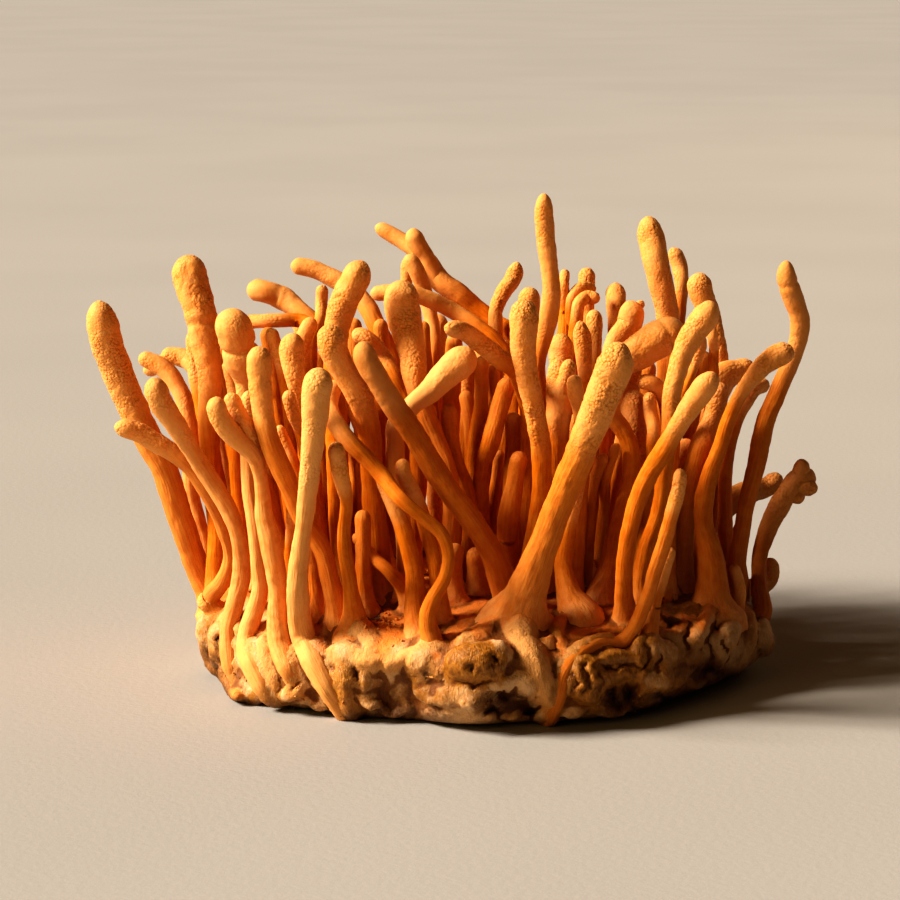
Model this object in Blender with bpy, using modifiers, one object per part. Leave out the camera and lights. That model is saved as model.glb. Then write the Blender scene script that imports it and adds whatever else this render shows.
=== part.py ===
"""Cordyceps bunch: some 130 fruiting bodies (stromata) on the cake of mycelium they grew from.

The row frame: +Z up, the origin at the centre of the flat underside, -Y towards the viewer.
Tables are in millimetres. A stroma's course is given as (across, up, diameter) from its tip down,
as read on the upright plane through the middle of the bunch, and its depth behind that plane is
given apart, so that a change of depth never changes the front view.
"""

import math
import random

import bmesh
import bpy
import numpy as np
from mathutils import Vector

MM = 0.001                      # metres in a millimetre
WELD = 0.000001                 # metres within which two corners are one
SLIVER = 0.00003                # the same after a Boolean, which leaves slivers
GAP = 0.30                      # mm of air between two solids that touch

# Settling, which gives each stalk its own room
SETTLE_GAP = 0.42               # mm that it keeps between two stalks' round surfaces
SETTLE_SLACK = 0.02             # mm that may still be wanting
SETTLE_ROUNDS = 320
SIGHT_ROUNDS = 192              # the rounds that move stalks along the sight lines alone
EASE_ROUNDS = 160               # the rounds that share a shift out along its stalk
EASE_OWN = 0.6                  # the share of a point's shift that stays its own
TIP_SHARE = 0.4                 # a domed tip's room, as a share of its radius

# The view that the courses were read in
SIGHT_TARGET = np.array([-3.75, 0.0, 29.0])
SIGHT_DISTANCE = 420.0
SIGHT_RISE = math.radians(10.0)
SIGHT_STEP = 0.25               # mm between two tries at where a sight line meets the cake
SWAY = 1.1                      # mm that a stalk winds to and from the viewer
SWAY_STEP = 0.618               # turns by which one stalk's winding differs from the next one's

# The cake of mycelium
CAKE_RADIUS = 36.2
CAKE_CROWN = 13.0
CAKE_RIM = 5.0                  # height of the cake's widest place
CAKE_SIDES = 34
CAKE_PROFILE = [(0.0, 13.0), (12.0, 13.3), (22.0, 12.9), (28.0, 12.2), (32.4, 10.7), (35.2, 8.4),
                (36.2, 5.6), (35.7, 2.6), (33.9, 0.8), (31.5, 0.0), (16.0, 0.0), (0.0, 0.0)]
CAKE_LOBES = [(5, 0.8, 0.6), (9, 0.6, 2.0)]     # number round the edge, mm out and in, start
CAKE_EDGE_POWER = 6             # how fast the lobes die away towards the middle
CAKE_WAVE = 0.45                # mm that the top rolls up and down
CAKE_WAVE_PITCH = (0.31, 0.27)  # radians a mm, across and deep
CAKE_WAVE_START = (1.0, 0.4)
CAKE_WAVE_HEIGHT = 10.0         # the waves have their full height this far above the floor
# Lumps on the cake: degrees round from the front, height, spread, how far it stands out
CAKE_LUMPS = [(-64, 8.0, 5.0, 1.3), (-46, 5.0, 5.5, 1.5), (-25, 5.0, 5.0, 1.6), (-19, 10.0, 4.5, 1.5),
              (-2, 8.0, 5.5, 2.2), (8, 9.5, 4.5, 1.8), (23, 5.5, 5.0, 1.6), (36, 5.0, 4.5, 1.3),
              (58, 7.5, 5.5, 1.7), (80, 6.0, 6.0, 1.2), (104, 7.0, 6.0, 1.6), (131, 5.0, 6.5, 1.4),
              (157, 7.5, 6.0, 1.7), (181, 5.5, 6.0, 1.3), (206, 7.5, 6.5, 1.6), (232, 5.5, 6.0, 1.4),
              (258, 7.0, 6.0, 1.5), (-84, 5.5, 5.5, 1.2)]

# Rings of a domed tip: how far back from the end and out, as shares of the tip's radius
DOME = [(0.06, 0.38), (0.34, 0.78)]
FINE_DOME = [(0.12, 0.58)]
ROOT_DEPTH = 2.2                # how far a stalk reaches down into the cake
ROOT_REACH = 34.3               # the furthest from the middle that a stalk is rooted
ROOT_FLARE = 1.25
HIDDEN_FALL = 6.0               # mm: a foot that is higher than this goes on down, out of sight
HIDDEN_DRAW = 0.93              # and is rooted this much nearer the middle
FOOT_ROOM = 1.0                 # mm between the last reading and the root, at least
STATION = 1.0                   # mm between the places that a ring may be at
END_ROOM = 0.6                  # mm that the last of them is from the root, at least
RING_TOLERANCE = 0.5            # mm that a stretch between two rings may leave the smooth course
RING_SPACING = 14.0             # mm between two rings, at most
SMALL_TOLERANCE = 1.3           # the same two for the small ones that are one with the cake
SMALL_SPACING = 30.0
FINE_DIAMETER = 4.4             # a stalk thinner than this all along has six sides and not eight
SEEN = None                     # foot depth: where the sight line meets the cake

# Stromata of their own node: tip depth, foot depth, course
STROMATA = {
    "left_tall": (-8, -2, [(-46.9, 19.8, 4.0), (-46, 15.5, 4.2), (-43.9, 9.5, 4.1), (-41.3, 3.5, 3.9),
                           (-38.1, -2.5, 3.6), (-35.6, -10, 3.4), (-32.8, -17.5, 3.4)]),
    "left_club": (3, -3, [(-35.2, 26, 4.6), (-34.8, 23, 4.6), (-33.6, 19, 4.3), (-33, 15, 3.9),
                          (-32.3, 11, 3.3), (-32.3, 4, 3.0), (-32, -5, 2.4), (-31.3, -11, 2.4),
                          (-31.4, -17, 2.8)]),
    "left_low": (-17, -10, [(-44.7, 3.2, 2.6), (-42.5, 2.7, 2.6), (-38.5, 0.6, 2.6), (-35, -2, 2.1),
                            (-32.4, -5.8, 2.0), (-30.3, -10.3, 1.9), (-29.3, -14.5, 1.9),
                            (-30.5, -17.8, 2.2), (-32, -19.8, 2.6)]),
    "left_bent": (-24, -16, [(-39.6, 9.6, 3.2), (-39, 7.3, 3.3), (-37, 4, 2.9), (-34.8, 0.4, 2.5),
                             (-32.4, -3.3, 2.4), (-30, -7, 2.4), (-28.4, -11, 2.2), (-27.8, -15, 2.3),
                             (-28, -20, 3.2)]),
    "left_slim": (10, 6, [(-41.5, 12.5, 2.2), (-38.3, 11, 2.5), (-35.8, 7.5, 2.4), (-34.6, 3, 2.3),
                          (-34.6, -2, 2.2), (-34.3, -7, 2.2), (-32.9, -12, 2.2), (-31.8, -17, 2.4)]),
    "left_short": (17, 12, [(-38.5, 12.6, 2.4), (-35.5, 12.3, 2.6), (-33, 9.5, 2.4), (-31.5, 5, 2.2)]),
    "left_bulb": (-11, -8, [(-30.2, 18.6, 5.0), (-29, 16.5, 5.0), (-28, 13, 4.0), (-27.3, 9.5, 3.0),
                            (-27, 4, 2.6), (-26.8, 0, 2.4)]),
    "fore_tall": (-30, -27, [(-25.3, 13.6, 3.2), (-25.3, 11, 3.3), (-24.9, 6, 3.0), (-24, 1.5, 2.7),
                             (-22.4, -2.5, 2.9), (-20.9, -6, 2.6), (-19.5, -9.5, 2.5), (-17, -13, 2.5),
                             (-15.6, -18, 2.6)]),
    "fore_forked": (-32, SEEN, [(-31.1, 7, 2.6), (-30.6, 4.6, 2.8), (-28.3, 1.5, 2.7),
                                (-25.9, -0.8, 2.4), (-24.9, -4.5, 1.9), (-24.6, -8.5, 2.4),
                                (-23.6, -13, 3.0), (-22.8, -18, 2.6), (-22.6, -23, 2.8),
                                (-23, -27, 3.2)]),
    "fore_pale": (-40, SEEN, [(-17.3, 10.9, 3.8), (-17.7, 8, 3.9), (-18, 4, 3.5), (-18.4, -1, 2.9),
                              (-18.9, -6, 2.6), (-19.5, -11, 2.3), (-20.2, -16, 2.8), (-20.1, -20, 3.0),
                              (-19.2, -24, 3.2), (-17.8, -28, 3.2)]),
    "fore_thin": (-23, SEEN, [(-26.9, 7.9, 2.0), (-26.8, 5, 2.2), (-27, 0, 2.0), (-26.8, -5, 2.0),
                              (-26.1, -10, 2.0), (-25.6, -15, 2.0), (-25.3, -18.5, 2.2),
                              (-26.4, -22.5, 2.0), (-26.4, -27, 2.4)]),
    "fore_second": (-35, SEEN, [(-16, 1.5, 2.3), (-15.3, -2.5, 2.3), (-14.5, -6.5, 1.8),
                                (-14.8, -10, 1.8), (-14.7, -13, 2.0), (-14.1, -17, 2.0),
                                (-13.5, -23.5, 3.2)]),
    "left_inner": (-20, -18, [(-20.9, 15.6, 3.0), (-21.2, 13, 3.2), (-20.8, 10, 2.7), (-20.2, 7, 2.3),
                              (-19.5, 4, 2.2), (-19, -2, 2.2)]),
    "back_arching": (22, 15, [(-21.2, 24.7, 2.3), (-19, 24.3, 2.4), (-16.5, 23.4, 2.5),
                              (-14.5, 22.3, 2.6), (-11.3, 19.5, 2.6), (-9.5, 16, 2.6), (-8, 13, 2.6),
                              (-6.9, 10, 2.6)]),
    "back_thumb": (16, 12, [(-26.8, 21.5, 3.0), (-25, 21.2, 3.0), (-22.5, 20.3, 3.2),
                            (-20, 18.5, 2.6), (-18.2, 17, 2.5)]),
    "back_long": (30, 22, [(-10.6, 29.9, 2.2), (-8, 28.5, 2.2), (-5.5, 26.8, 2.3), (-3.3, 25, 2.4),
                           (-2, 22.5, 3.0), (0.5, 20.7, 3.0), (3, 18.6, 2.8), (5.5, 16.7, 2.7),
                           (7.5, 15.5, 2.6)]),
    "back_slim": (18, 16, [(-5.8, 26, 2.2), (-4.5, 24, 2.3), (-3.5, 21.5, 2.2), (-2.6, 18, 2.0),
                           (-2, 14, 1.8), (-2.2, 11, 1.8)]),
    "back_lying": (12, 10, [(-10.6, 20.8, 2.0), (-8.5, 21, 2.1), (-5.5, 21, 2.2), (-2.5, 20, 2.3),
                            (0.5, 18.5, 2.2), (3, 16.9, 2.2), (5.5, 15, 2.2)]),
    "back_upright": (27, 22, [(9.9, 25.1, 2.3), (9.4, 23.2, 2.4), (8, 21, 2.2), (7, 18.5, 2.0),
                              (7, 16.3, 2.0)]),
    "mid_left_club": (-12, -14, [(-11.5, 25.2, 3.8), (-12.5, 23, 3.9), (-14, 20, 3.8),
                                 (-14.9, 17, 3.4), (-15.3, 13, 3.2), (-15.3, 8, 3.0)]),
    "mid_leaning": (-26, -20, [(-16, 16.6, 3.6), (-15.5, 14.3, 3.8), (-14.5, 11, 3.5), (-13.2, 8, 3.4),
                               (-12, 5, 3.2), (-11, 2, 3.1), (-10.2, -2, 3.0), (-9.8, -8, 3.0)]),
    "winding": (-22, SEEN, [(-15, 9.5, 2.6), (-15, 6, 2.6), (-13.3, 2.6, 2.4), (-11, -0.5, 2.2),
                            (-8.8, -3.7, 2.2), (-6, -6.8, 1.9, -32), (-3.5, -8.8, 1.8),
                            (-1.3, -10.8, 1.8), (-0.5, -13.5, 1.7), (-1, -16.5, 1.8), (-2.4, -19, 2.0),
                            (-3.2, -21.5, 2.3), (-2.8, -24.5, 2.4), (-2, -26.8, 2.8)]),
    "winding_twin": (-28, -32, [(-9.3, -3, 2.2), (-7.5, -7.5, 2.3), (-5.8, -12, 2.4), (-4.6, -17, 2.5),
                                (-4.4, -22, 2.6), (-4, -26, 2.8)]),
    "mid_club": (-8, -14, [(-6.3, 22.7, 4.6), (-6.4, 19.5, 4.7), (-5.7, 16, 4.3), (-5, 13, 3.7),
                           (-4.7, 10, 3.3), (-3.4, 5.5, 2.6), (-2, 2, 2.4), (-0.5, -2, 2.4)]),
    "diagonal_dark": (-28, SEEN, [(-11.6, 14.3, 3.1), (-11.2, 12, 3.2), (-9.3, 8.8, 3.1),
                                  (-6.8, 5, 3.2), (-4.2, 1.3, 3.1), (-1.8, -2.8, 3.1), (0.8, -6.6, 3.0),
                                  (3.4, -10, 3.1), (5.6, -13.5, 3.2), (7.3, -17.5, 3.6),
                                  (8.5, -21, 4.0)]),
    "crossing_pale": (-17, -21, [(2.9, 13.3, 4.0), (1.6, 11.8, 4.3), (-0.8, 9.7, 3.8), (-2.8, 7.6, 3.2),
                                 (-5, 5.8, 2.6), (-7.2, 3.2, 2.6), (-7.4, 0, 2.5), (-7.2, -4, 2.4),
                                 (-6.6, -9, 2.3), (-6, -15, 2.3)]),
    "mid_hooked": (-26, -13, [(-0.8, 16.2, 2.2), (1, 15.9, 2.3), (4, 14, 2.5), (6.5, 12, 2.6),
                              (8.2, 10.8, 2.6), (9.5, 8, 2.5)]),
    "mid_right_club": (-24, -18, [(9.5, 20.1, 3.8), (9.6, 17.5, 3.9), (9.5, 14, 3.5), (9.9, 10.5, 3.0),
                                  (10.7, 7, 2.8), (11.3, 3.5, 2.7), (11.9, -0.5, 2.7), (11.9, -4, 2.5),
                                  (11.5, -8, 2.5), (10.8, -12, 2.6), (9.8, -20, 2.8)]),
    "tallest": (-10, -6, [(12.5, 34.2, 2.4), (12.5, 32, 2.5), (12.8, 28, 2.5), (13.2, 24.5, 2.3),
                          (13.5, 21.5, 2.4), (13.2, 18, 2.6), (12.6, 15, 2.0), (11.9, 12, 1.7),
                          (12.4, 6, 1.8)]),
    "cluster_bulb": (14, 12, [(24.2, 19.9, 3.2), (24, 17, 3.4), (22, 14.5, 2.6), (21, 10, 2.4)]),
    "cluster_round": (26, 22, [(22, 22, 2.8), (22, 20, 2.8), (21.8, 17, 2.0)]),
    "mid_twin_tip": (-16, -16, [(14.4, 12.1, 2.2), (14.5, 10.4, 3.0), (14.6, 9, 3.6), (14.6, 5.5, 3.6),
                                (14.3, 2, 3.0), (14.2, -1, 2.8)]),
    "great_front": (-40, SEEN, [(22.6, 14.6, 4.8), (22, 12, 4.9), (20.6, 8.5, 4.7), (19.1, 4.5, 4.4),
                                (17.3, 0, 4.2), (15.4, -4.5, 3.9), (13.8, -8.5, 3.8),
                                (12.3, -12.5, 3.8), (10.8, -16.5, 4.2), (9.7, -19.5, 4.6),
                                (8.8, -22.5, 6.0)]),
    "right_back_club": (14, 11, [(26.4, 31.2, 3.5), (26.8, 28.5, 3.6), (27.5, 25, 3.5),
                                 (28.4, 21, 3.3), (29, 18, 3.2), (29, 12, 3.0)]),
    "right_behind": (8, 5, [(33.1, 23.7, 3.2), (33.3, 21.5, 3.3), (34.4, 18.5, 2.9), (35.3, 15.5, 2.4),
                            (35.8, 12.5, 2.4), (35.8, 9, 2.4)]),
    "fat_crossing": (-6, SEEN, [(31.2, 16.2, 4.8), (28.5, 15.2, 5.0), (25.5, 13.3, 4.6), (23, 11.5, 4.0),
                                (21.5, 8, 3.2), (21.5, 4.8, 2.6), (23, 2.8, 2.3), (24, 0, 2.3),
                                (24, -4, 2.3), (23, -8, 2.3), (21.9, -12, 2.4), (21, -16, 2.6),
                                (20, -20, 3.0)]),
    "right_curved": (-18, SEEN, [(34.9, 19.8, 3.4), (34, 17.8, 3.6), (32.3, 15.5, 3.4),
                                 (30.9, 12.5, 2.9), (30, 9.5, 2.6), (29.3, 6, 2.4), (29.2, 3.5, 2.2),
                                 (28.8, 0, 2.2), (28.2, -4.5, 2.0), (27.6, -8.5, 2.0), (26, -13, 2.1),
                                 (25.2, -18, 2.3), (25.3, -22, 2.6)]),
    "right_long": (-34, SEEN, [(35.5, 10.3, 3.2), (34.4, 8.8, 3.3), (32.4, 6.2, 3.0), (30.4, 3, 2.6),
                               (28.6, 0, 2.6), (26.6, -3.2, 2.6), (25, -7, 2.4), (24, -11, 2.3),
                               (23.4, -15, 2.3), (23.3, -19, 2.4), (23.6, -23, 2.8)]),
    "right_small": (-38, SEEN, [(30.7, -2.5, 1.8), (30.5, -5, 1.9), (29.6, -8.5, 2.0), (28.5, -12.5, 2.0),
                                (27.2, -16.5, 2.0), (26, -20.5, 1.9), (24.6, -23.8, 1.8),
                                (22.5, -25.8, 1.8)]),
    "right_dark": (-10, -10, [(36, 9, 2.4), (34.9, 5, 2.6), (33, 0, 3.0), (31.8, -4, 3.0)]),
    "right_column": (-15, -13, [(45.9, 13.2, 2.8), (44, 12.8, 3.0), (41.8, 11.3, 2.7), (40, 9.3, 2.1),
                                (38.2, 6.5, 1.9), (37.1, 4, 2.0), (36.2, 1, 2.0), (34.9, -2.5, 2.2),
                                (34, -6, 2.6), (33.8, -10, 2.6), (34.5, -13, 3.4), (35, -20, 4.4)]),
    "right_pointing": (0, -2, [(40.4, 11.2, 3.0), (38.5, 10.5, 3.2), (36.8, 10, 3.8), (35.5, 7, 3.0)]),
    "right_tall": (-7, -4, [(45.4, 24.5, 2.6), (45.6, 22, 2.7), (46.4, 19.5, 2.7), (47.2, 17, 2.6),
                            (47.3, 14.5, 2.5), (46.7, 12, 2.4), (45.5, 9, 2.3), (44.2, 6, 2.4),
                            (43, 3, 2.5), (42.3, 0, 2.6), (41.6, -4, 2.4), (40.7, -8, 2.2),
                            (40.2, -12, 2.2), (39.7, -16, 2.4), (39.5, -20, 3.0)]),
    "right_knobby": (-2, -7, [(48.6, -4, 2.4), (47, -3.6, 3.2), (45, -5.5, 2.8), (43.5, -8, 2.8),
                              (42, -11, 2.4), (41, -14, 2.0), (40.9, -18, 2.2), (41, -22, 2.8)]),
    "right_thick": (8, 5, [(44.3, -3.5, 2.4), (42.5, -5, 2.6), (39.5, -6, 3.2), (36.5, -7.7, 3.8),
                           (34.5, -10, 3.6)]),
    "right_fore": (-29, SEEN, [(29.5, -13, 1.7), (28.3, -17, 1.8), (27, -21, 2.0), (26.5, -25, 2.4),
                               (27.5, -28, 2.6)]),
}

# Forks: a short arm that leaves a stroma of the table above
FORKS = {
    "fore_forked": [(-29.5, 7.6, 2.2), (-28.5, 5.3, 2.4), (-26.8, 2, 2.4), (-25.9, -0.8, 2.0)],
    "back_long": [(-5.2, 29.5, 2.4), (-4.5, 27.8, 2.6), (-3, 25.5, 2.3), (-1.5, 22, 2.4)],
    "mid_twin_tip": [(16, 12.1, 2.0), (15.7, 10.5, 2.2), (15.0, 8, 2.2), (14.6, 5.5, 2.0)],
    "right_knobby": [(47, -1.2, 2.0), (46.8, -2.6, 2.2), (46, -4.5, 2.0)],
}

# Small stromata that are one with the cake: tip depth, foot depth, course
SMALL_STROMATA = {
    "left_bulge": (8, 5, [(-34.7, 15.5, 2.2), (-34.4, 11, 2.4), (-33.3, 5, 2.4), (-32.3, 0, 2.2),
                          (-31.2, -6, 2.2)]),
    "left_stub": (-3, -4, [(-29.7, 12, 1.8), (-28.8, 7.8, 1.8), (-28.7, 0, 1.8), (-28.4, -5, 1.8)]),
    "fore_wisp": (-25, -21, [(-21.7, 8, 1.8), (-21, 5.5, 1.9), (-19.8, 2.5, 1.8), (-19, -2, 1.8)]),
    "pale_shard": (-18, -16, [(-22.6, 3.2, 1.4), (-20, -3.4, 1.5), (-19.4, -8, 1.5)]),
    "pale_stalk": (-22, -21, [(-21, -7.8, 1.5), (-21.4, -13, 1.5), (-21.4, -20, 1.7)]),
    "mid_peg": (-8, -8, [(-18.2, 17.6, 2.2), (-19.3, 15.5, 2.2), (-19.5, 12, 2.2), (-19.5, 9, 2.2)]),
    "mid_needle": (0, -1, [(-17, 22, 1.6), (-17.1, 20, 1.6), (-17.4, 17.3, 1.4), (-18.3, 14.8, 1.5),
                           (-18.5, 12, 1.6)]),
    "back_small": (-4, -6, [(-13, 15.7, 2.2), (-11, 14.8, 2.2), (-9, 12.5, 2.2), (-7.3, 9.5, 2.2),
                            (-6, 7, 2.2)]),
    "back_bar": (9, 6, [(-27.5, 17, 1.9), (-23, 17.3, 1.9), (-20, 17.2, 1.9), (-18.3, 16.5, 1.9)]),
    "back_peg": (3, 2, [(-24, 16.2, 1.8), (-22.8, 12.5, 1.8)]),
    "back_nub": (25, 24, [(-6.4, 25.5, 1.5), (-6.4, 23.8, 1.6), (-6.4, 20, 1.6)]),
    "mid_far": (5, 4, [(10.6, 21.7, 3.0), (10.5, 17, 2.6)]),
    "mid_inner": (-27, -29, [(-6.4, -1.7, 2.1), (-6.2, -3.5, 2.1), (-5, -6, 2.0), (-3.8, -9, 2.0),
                             (-2.8, -12.5, 2.0), (-2, -16, 2.0), (-1.5, -20, 2.2)]),
    "cluster_needle": (22, 20, [(15.4, 24.1, 1.4), (15.3, 22, 1.4), (15.4, 19, 1.6), (15.3, 16, 2.0)]),
    "cluster_stub": (-2, -3, [(14.8, 15.5, 3.2), (14.8, 13.5, 3.3), (14.8, 9, 2.8)]),
    "cluster_ball": (26, 24, [(17.2, 24.4, 2.3), (17.2, 22.5, 2.3), (17.4, 18, 1.8)]),
    "cluster_curl": (22, 20, [(19.3, 21.2, 1.6), (17.8, 21.8, 1.6), (16.4, 20.6, 1.6), (16, 18, 1.6)]),
    "cluster_bent": (18, 17, [(21, 20, 1.8), (19.5, 20.4, 1.8), (18.3, 19.5, 1.8), (18, 17.5, 1.8)]),
    "cluster_edge": (20, 18, [(24, 20, 1.2), (21.3, 17.2, 1.3)]),
    "cluster_low": (8, 7, [(19.2, 18.7, 2.2), (19.2, 16, 2.2)]),
    "mid_slim": (-5, -5, [(17.3, 17.2, 2.2), (17.6, 15, 2.4), (17.8, 12.5, 2.3), (18, 10, 1.8)]),
    "mid_short": (-20, -18, [(16.5, 10.2, 2.1), (16.6, 8.5, 2.2), (17.2, 6, 2.1)]),
    "inner_a": (-8, -8, [(4.3, 12.5, 1.9), (4.2, 9, 1.9), (4.1, 6, 1.9), (3.7, 3.5, 1.9), (3.4, 1, 1.9)]),
    "inner_b": (-6, -6, [(5.8, 11.5, 1.6), (5.8, 8.5, 1.6), (4.9, 4, 1.6)]),
    "inner_c": (-12, -12, [(7.8, 9.5, 2.4), (6.5, 5, 2.5), (5.6, 1.5, 2.5), (4.5, -2, 2.2), (4, -6, 2.2)]),
    "inner_d": (-8, -8, [(8.5, 5, 2.2), (8.4, 0, 2.2), (8.2, -4, 2.2)]),
    "inner_e": (-2, -2, [(6.6, 0, 1.4), (6.1, -4, 1.4), (5.6, -8, 1.5)]),
    "inner_f": (-16, -15, [(10.3, 0, 2.4), (9.6, -4, 2.4), (8.9, -8, 2.9), (8.6, -12, 3.0)]),
    "inner_g": (-12, -12, [(-0.2, 6, 2.2), (0, 2, 2.2), (0.8, -2, 2.2), (2, -5, 2.2)]),
    "inner_h": (-6, -6, [(2, 7.9, 2.0), (2.7, 4, 2.0), (2.9, 0, 2.0)]),
    "inner_i": (-18, -17, [(3.3, -13, 2.4), (3.6, -17, 2.4), (3.8, -21, 2.6)]),
    "inner_j": (-22, -21, [(0.8, -12.5, 2.2), (0.5, -17, 2.2), (0.8, -21, 2.4)]),
    "inner_k": (-20, -21, [(-13, -10.5, 1.6), (-10.5, -13.5, 1.6), (-8, -15.8, 1.8), (-6.3, -18, 2.0),
                           (-5.4, -21, 2.2)]),
    "inner_l": (-24, -24, [(-17.2, -8, 2.6), (-17, -15, 2.9), (-16.8, -22, 3.4)]),
    "inner_m": (-22, -22, [(-12.3, -8, 2.2), (-12.2, -15, 2.2), (-12, -22, 2.8)]),
    "inner_n": (-14, -14, [(-12.2, -1, 1.4), (-12, -5, 1.4), (-11.6, -9, 1.5)]),
    "inner_o": (-12, -12, [(-13.5, 1, 1.5), (-12.9, -2, 1.5), (-12.5, -7, 1.6)]),
    "right_needle": (20, 18, [(29.4, 27, 2.1), (30.3, 24.5, 2.2), (30.6, 22, 1.9), (30.4, 19.5, 1.7),
                              (30, 15, 1.8)]),
    "right_knob_a": (-12, -11, [(33.5, 15.7, 1.3), (33.6, 14.3, 1.7), (32.8, 12, 1.4), (31.9, 9.5, 1.5),
                                (31.3, 7.8, 1.6)]),
    "right_knob_b": (-8, -8, [(34.9, 16.4, 1.2), (35, 15, 1.3), (35.2, 13, 1.3), (35.1, 10.8, 1.5)]),
    "right_bud": (3, 1, [(42.4, 8.7, 2.0), (40.8, 8.4, 2.2), (39.5, 6.5, 2.0)]),
    "right_twig": (10, 8, [(39, -9, 1.2), (38.2, -11, 1.3), (37.3, -14, 1.5)]),
    "right_flap": (-9, -9, [(38, -15, 1.4), (38.8, -18.3, 1.8)]),
    "right_rear": (8, 7, [(42.7, -14.4, 2.4), (42.7, -16.5, 2.6), (42, -19.5, 2.6)]),
    "fore_right": (-21, -24, [(17.3, -3, 2.0), (16.5, -7, 2.1), (15.7, -11, 2.2), (15.1, -15, 2.4),
                              (15.8, -19, 3.0), (17.0, -22, 4.0)]),
    "round_bulge": (-11, -11, [(17.3, -13.3, 3.8), (17.3, -17, 4.0), (17.3, -20, 4.0)]),
    "right_inner": (-12, -12, [(26.6, 7.4, 1.8), (26.7, 5, 1.9), (27.2, 2.5, 1.9), (27, 0, 1.9)]),
    "right_arch": (-10, -8, [(25.2, 8.9, 2.1), (27, 8.9, 2.1), (28.8, 7, 2.1), (29.5, 3, 2.0)]),
    "right_fat": (-4, -4, [(24.5, 8, 3.4), (24.5, 4, 3.5), (25, 0, 3.4)]),
    "leaf_a": (-14, -14, [(20.6, -0.5, 1.6), (19, -5, 1.6), (18.6, -10, 1.7)]),
    "leaf_b": (-12, -10, [(22.3, 1, 1.3), (21, -2.7, 1.4), (20.5, -8, 1.5)]),
}

# A stroma that no view was read for: its height and thickness at each place, as shares
UPRIGHT_SHAPE = [(1.0, 1.0), (0.93, 1.0), (0.75, 0.92), (0.5, 0.72), (0.25, 0.66), (0.0, 0.8)]
UPRIGHT_FOOT = CAKE_CROWN - 1.0
LEAN_POWER = 1.6                # it leans more and more towards the tip
BEND_TURN = 3.0                 # radians of the sideways bend, from foot to tip

# The far side, which the view doesn't show: a row of stromata of the same habit
REAR_COUNT = 13
REAR_SPREAD = 56.0              # degrees either side of straight back
REAR_STRAY = 2.0                # degrees that one may be out of its even place
REAR_ROOT = (27.0, 32.0)        # how far from the middle they are rooted
REAR_LEAN = (5.0, 11.0)         # how much further out the tip is
REAR_HEIGHT = (33.0, 42.0)
REAR_DIAMETER = (2.3, 3.8)
REAR_BEND = (-2.5, 2.5)
REAR_STAGGER = 5.0              # every second one is this much further in
REAR_TALLER = 4.0               # and this much taller
REAR_SEED = 11

# The heart of the bunch, which shows only from above: short ones, one with the cake
HEART_TRIES = 100
HEART_REACH = 27.0
HEART_FRONT = -9.0              # none is nearer the viewer than this
HEART_ROOM = 3.7                # mm that the middle of one is from every other stalk's, at least
HEART_LEVELS = (15.0, 22.0, 29.0)   # heights at which that room is looked for
HEART_LEAN = (1.0, 6.0)
HEART_HEIGHT = (26.0, 39.0)
HEART_DIAMETER = (2.2, 3.1)
HEART_BEND = (-2.0, 2.0)
HEART_TURN = 0.7
HEART_SEED = 5
GOLDEN_ANGLE = math.pi * (3.0 - math.sqrt(5.0))

ORANGE = (0.83, 0.33, 0.055, 1.0)
ORANGE_ROUGHNESS = 0.6
CREAM = (0.80, 0.58, 0.32, 1.0)
CREAM_ROUGHNESS = 0.7


def cake_height(x, y):
    """The height of the cake's plain top at a place, or below the floor where there is none."""
    top = [corner for corner in CAKE_PROFILE if corner[1] >= CAKE_RIM]
    reaches, heights = zip(*top)
    return np.interp(np.hypot(x, y), reaches, heights, right=-1.0)


def eye():
    """Where the courses were read from."""
    away = np.array([0.0, -math.cos(SIGHT_RISE), math.sin(SIGHT_RISE)])
    return SIGHT_TARGET + SIGHT_DISTANCE * away


def place(across, up, depth):
    """The point seen at (across, up) whose y is depth."""
    start = eye()
    on_plane = SIGHT_TARGET + np.array([across, up * math.sin(SIGHT_RISE), up * math.cos(SIGHT_RISE)])
    reach = (depth - start[1]) / (on_plane[1] - start[1])
    return start + (on_plane - start) * reach


def seen_depth(across, up):
    """The depth at which the sight line through (across, up) comes down on the cake."""
    depth, best, least = -CAKE_RADIUS, -CAKE_RADIUS, math.inf
    while depth < CAKE_RADIUS:
        point = place(across, up, depth)
        above = point[2] - cake_height(point[0], point[1])
        if above <= 0.0:
            return depth
        if above < least:
            best, least = depth, above
        depth += SIGHT_STEP
    return best


def lengths(points):
    """How far along the course each point is."""
    steps = np.linalg.norm(np.diff(points, axis=0), axis=1)
    return np.concatenate([[0.0], np.cumsum(steps)])


def smooth_at(points, places):
    """Points of the smooth curve through the course, at these distances along it."""
    along = lengths(points)
    slopes = np.gradient(points, along, axis=0)
    result = []
    for place_along in places:
        k = int(np.clip(np.searchsorted(along, place_along) - 1, 0, len(along) - 2))
        span = along[k + 1] - along[k]
        s = (place_along - along[k]) / span
        result.append((2 * s ** 3 - 3 * s ** 2 + 1) * points[k] + (s ** 3 - 2 * s ** 2 + s) * span * slopes[k]
                      + (3 * s ** 2 - 2 * s ** 3) * points[k + 1] + (s ** 3 - s ** 2) * span * slopes[k + 1])
    return np.array(result)


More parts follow.
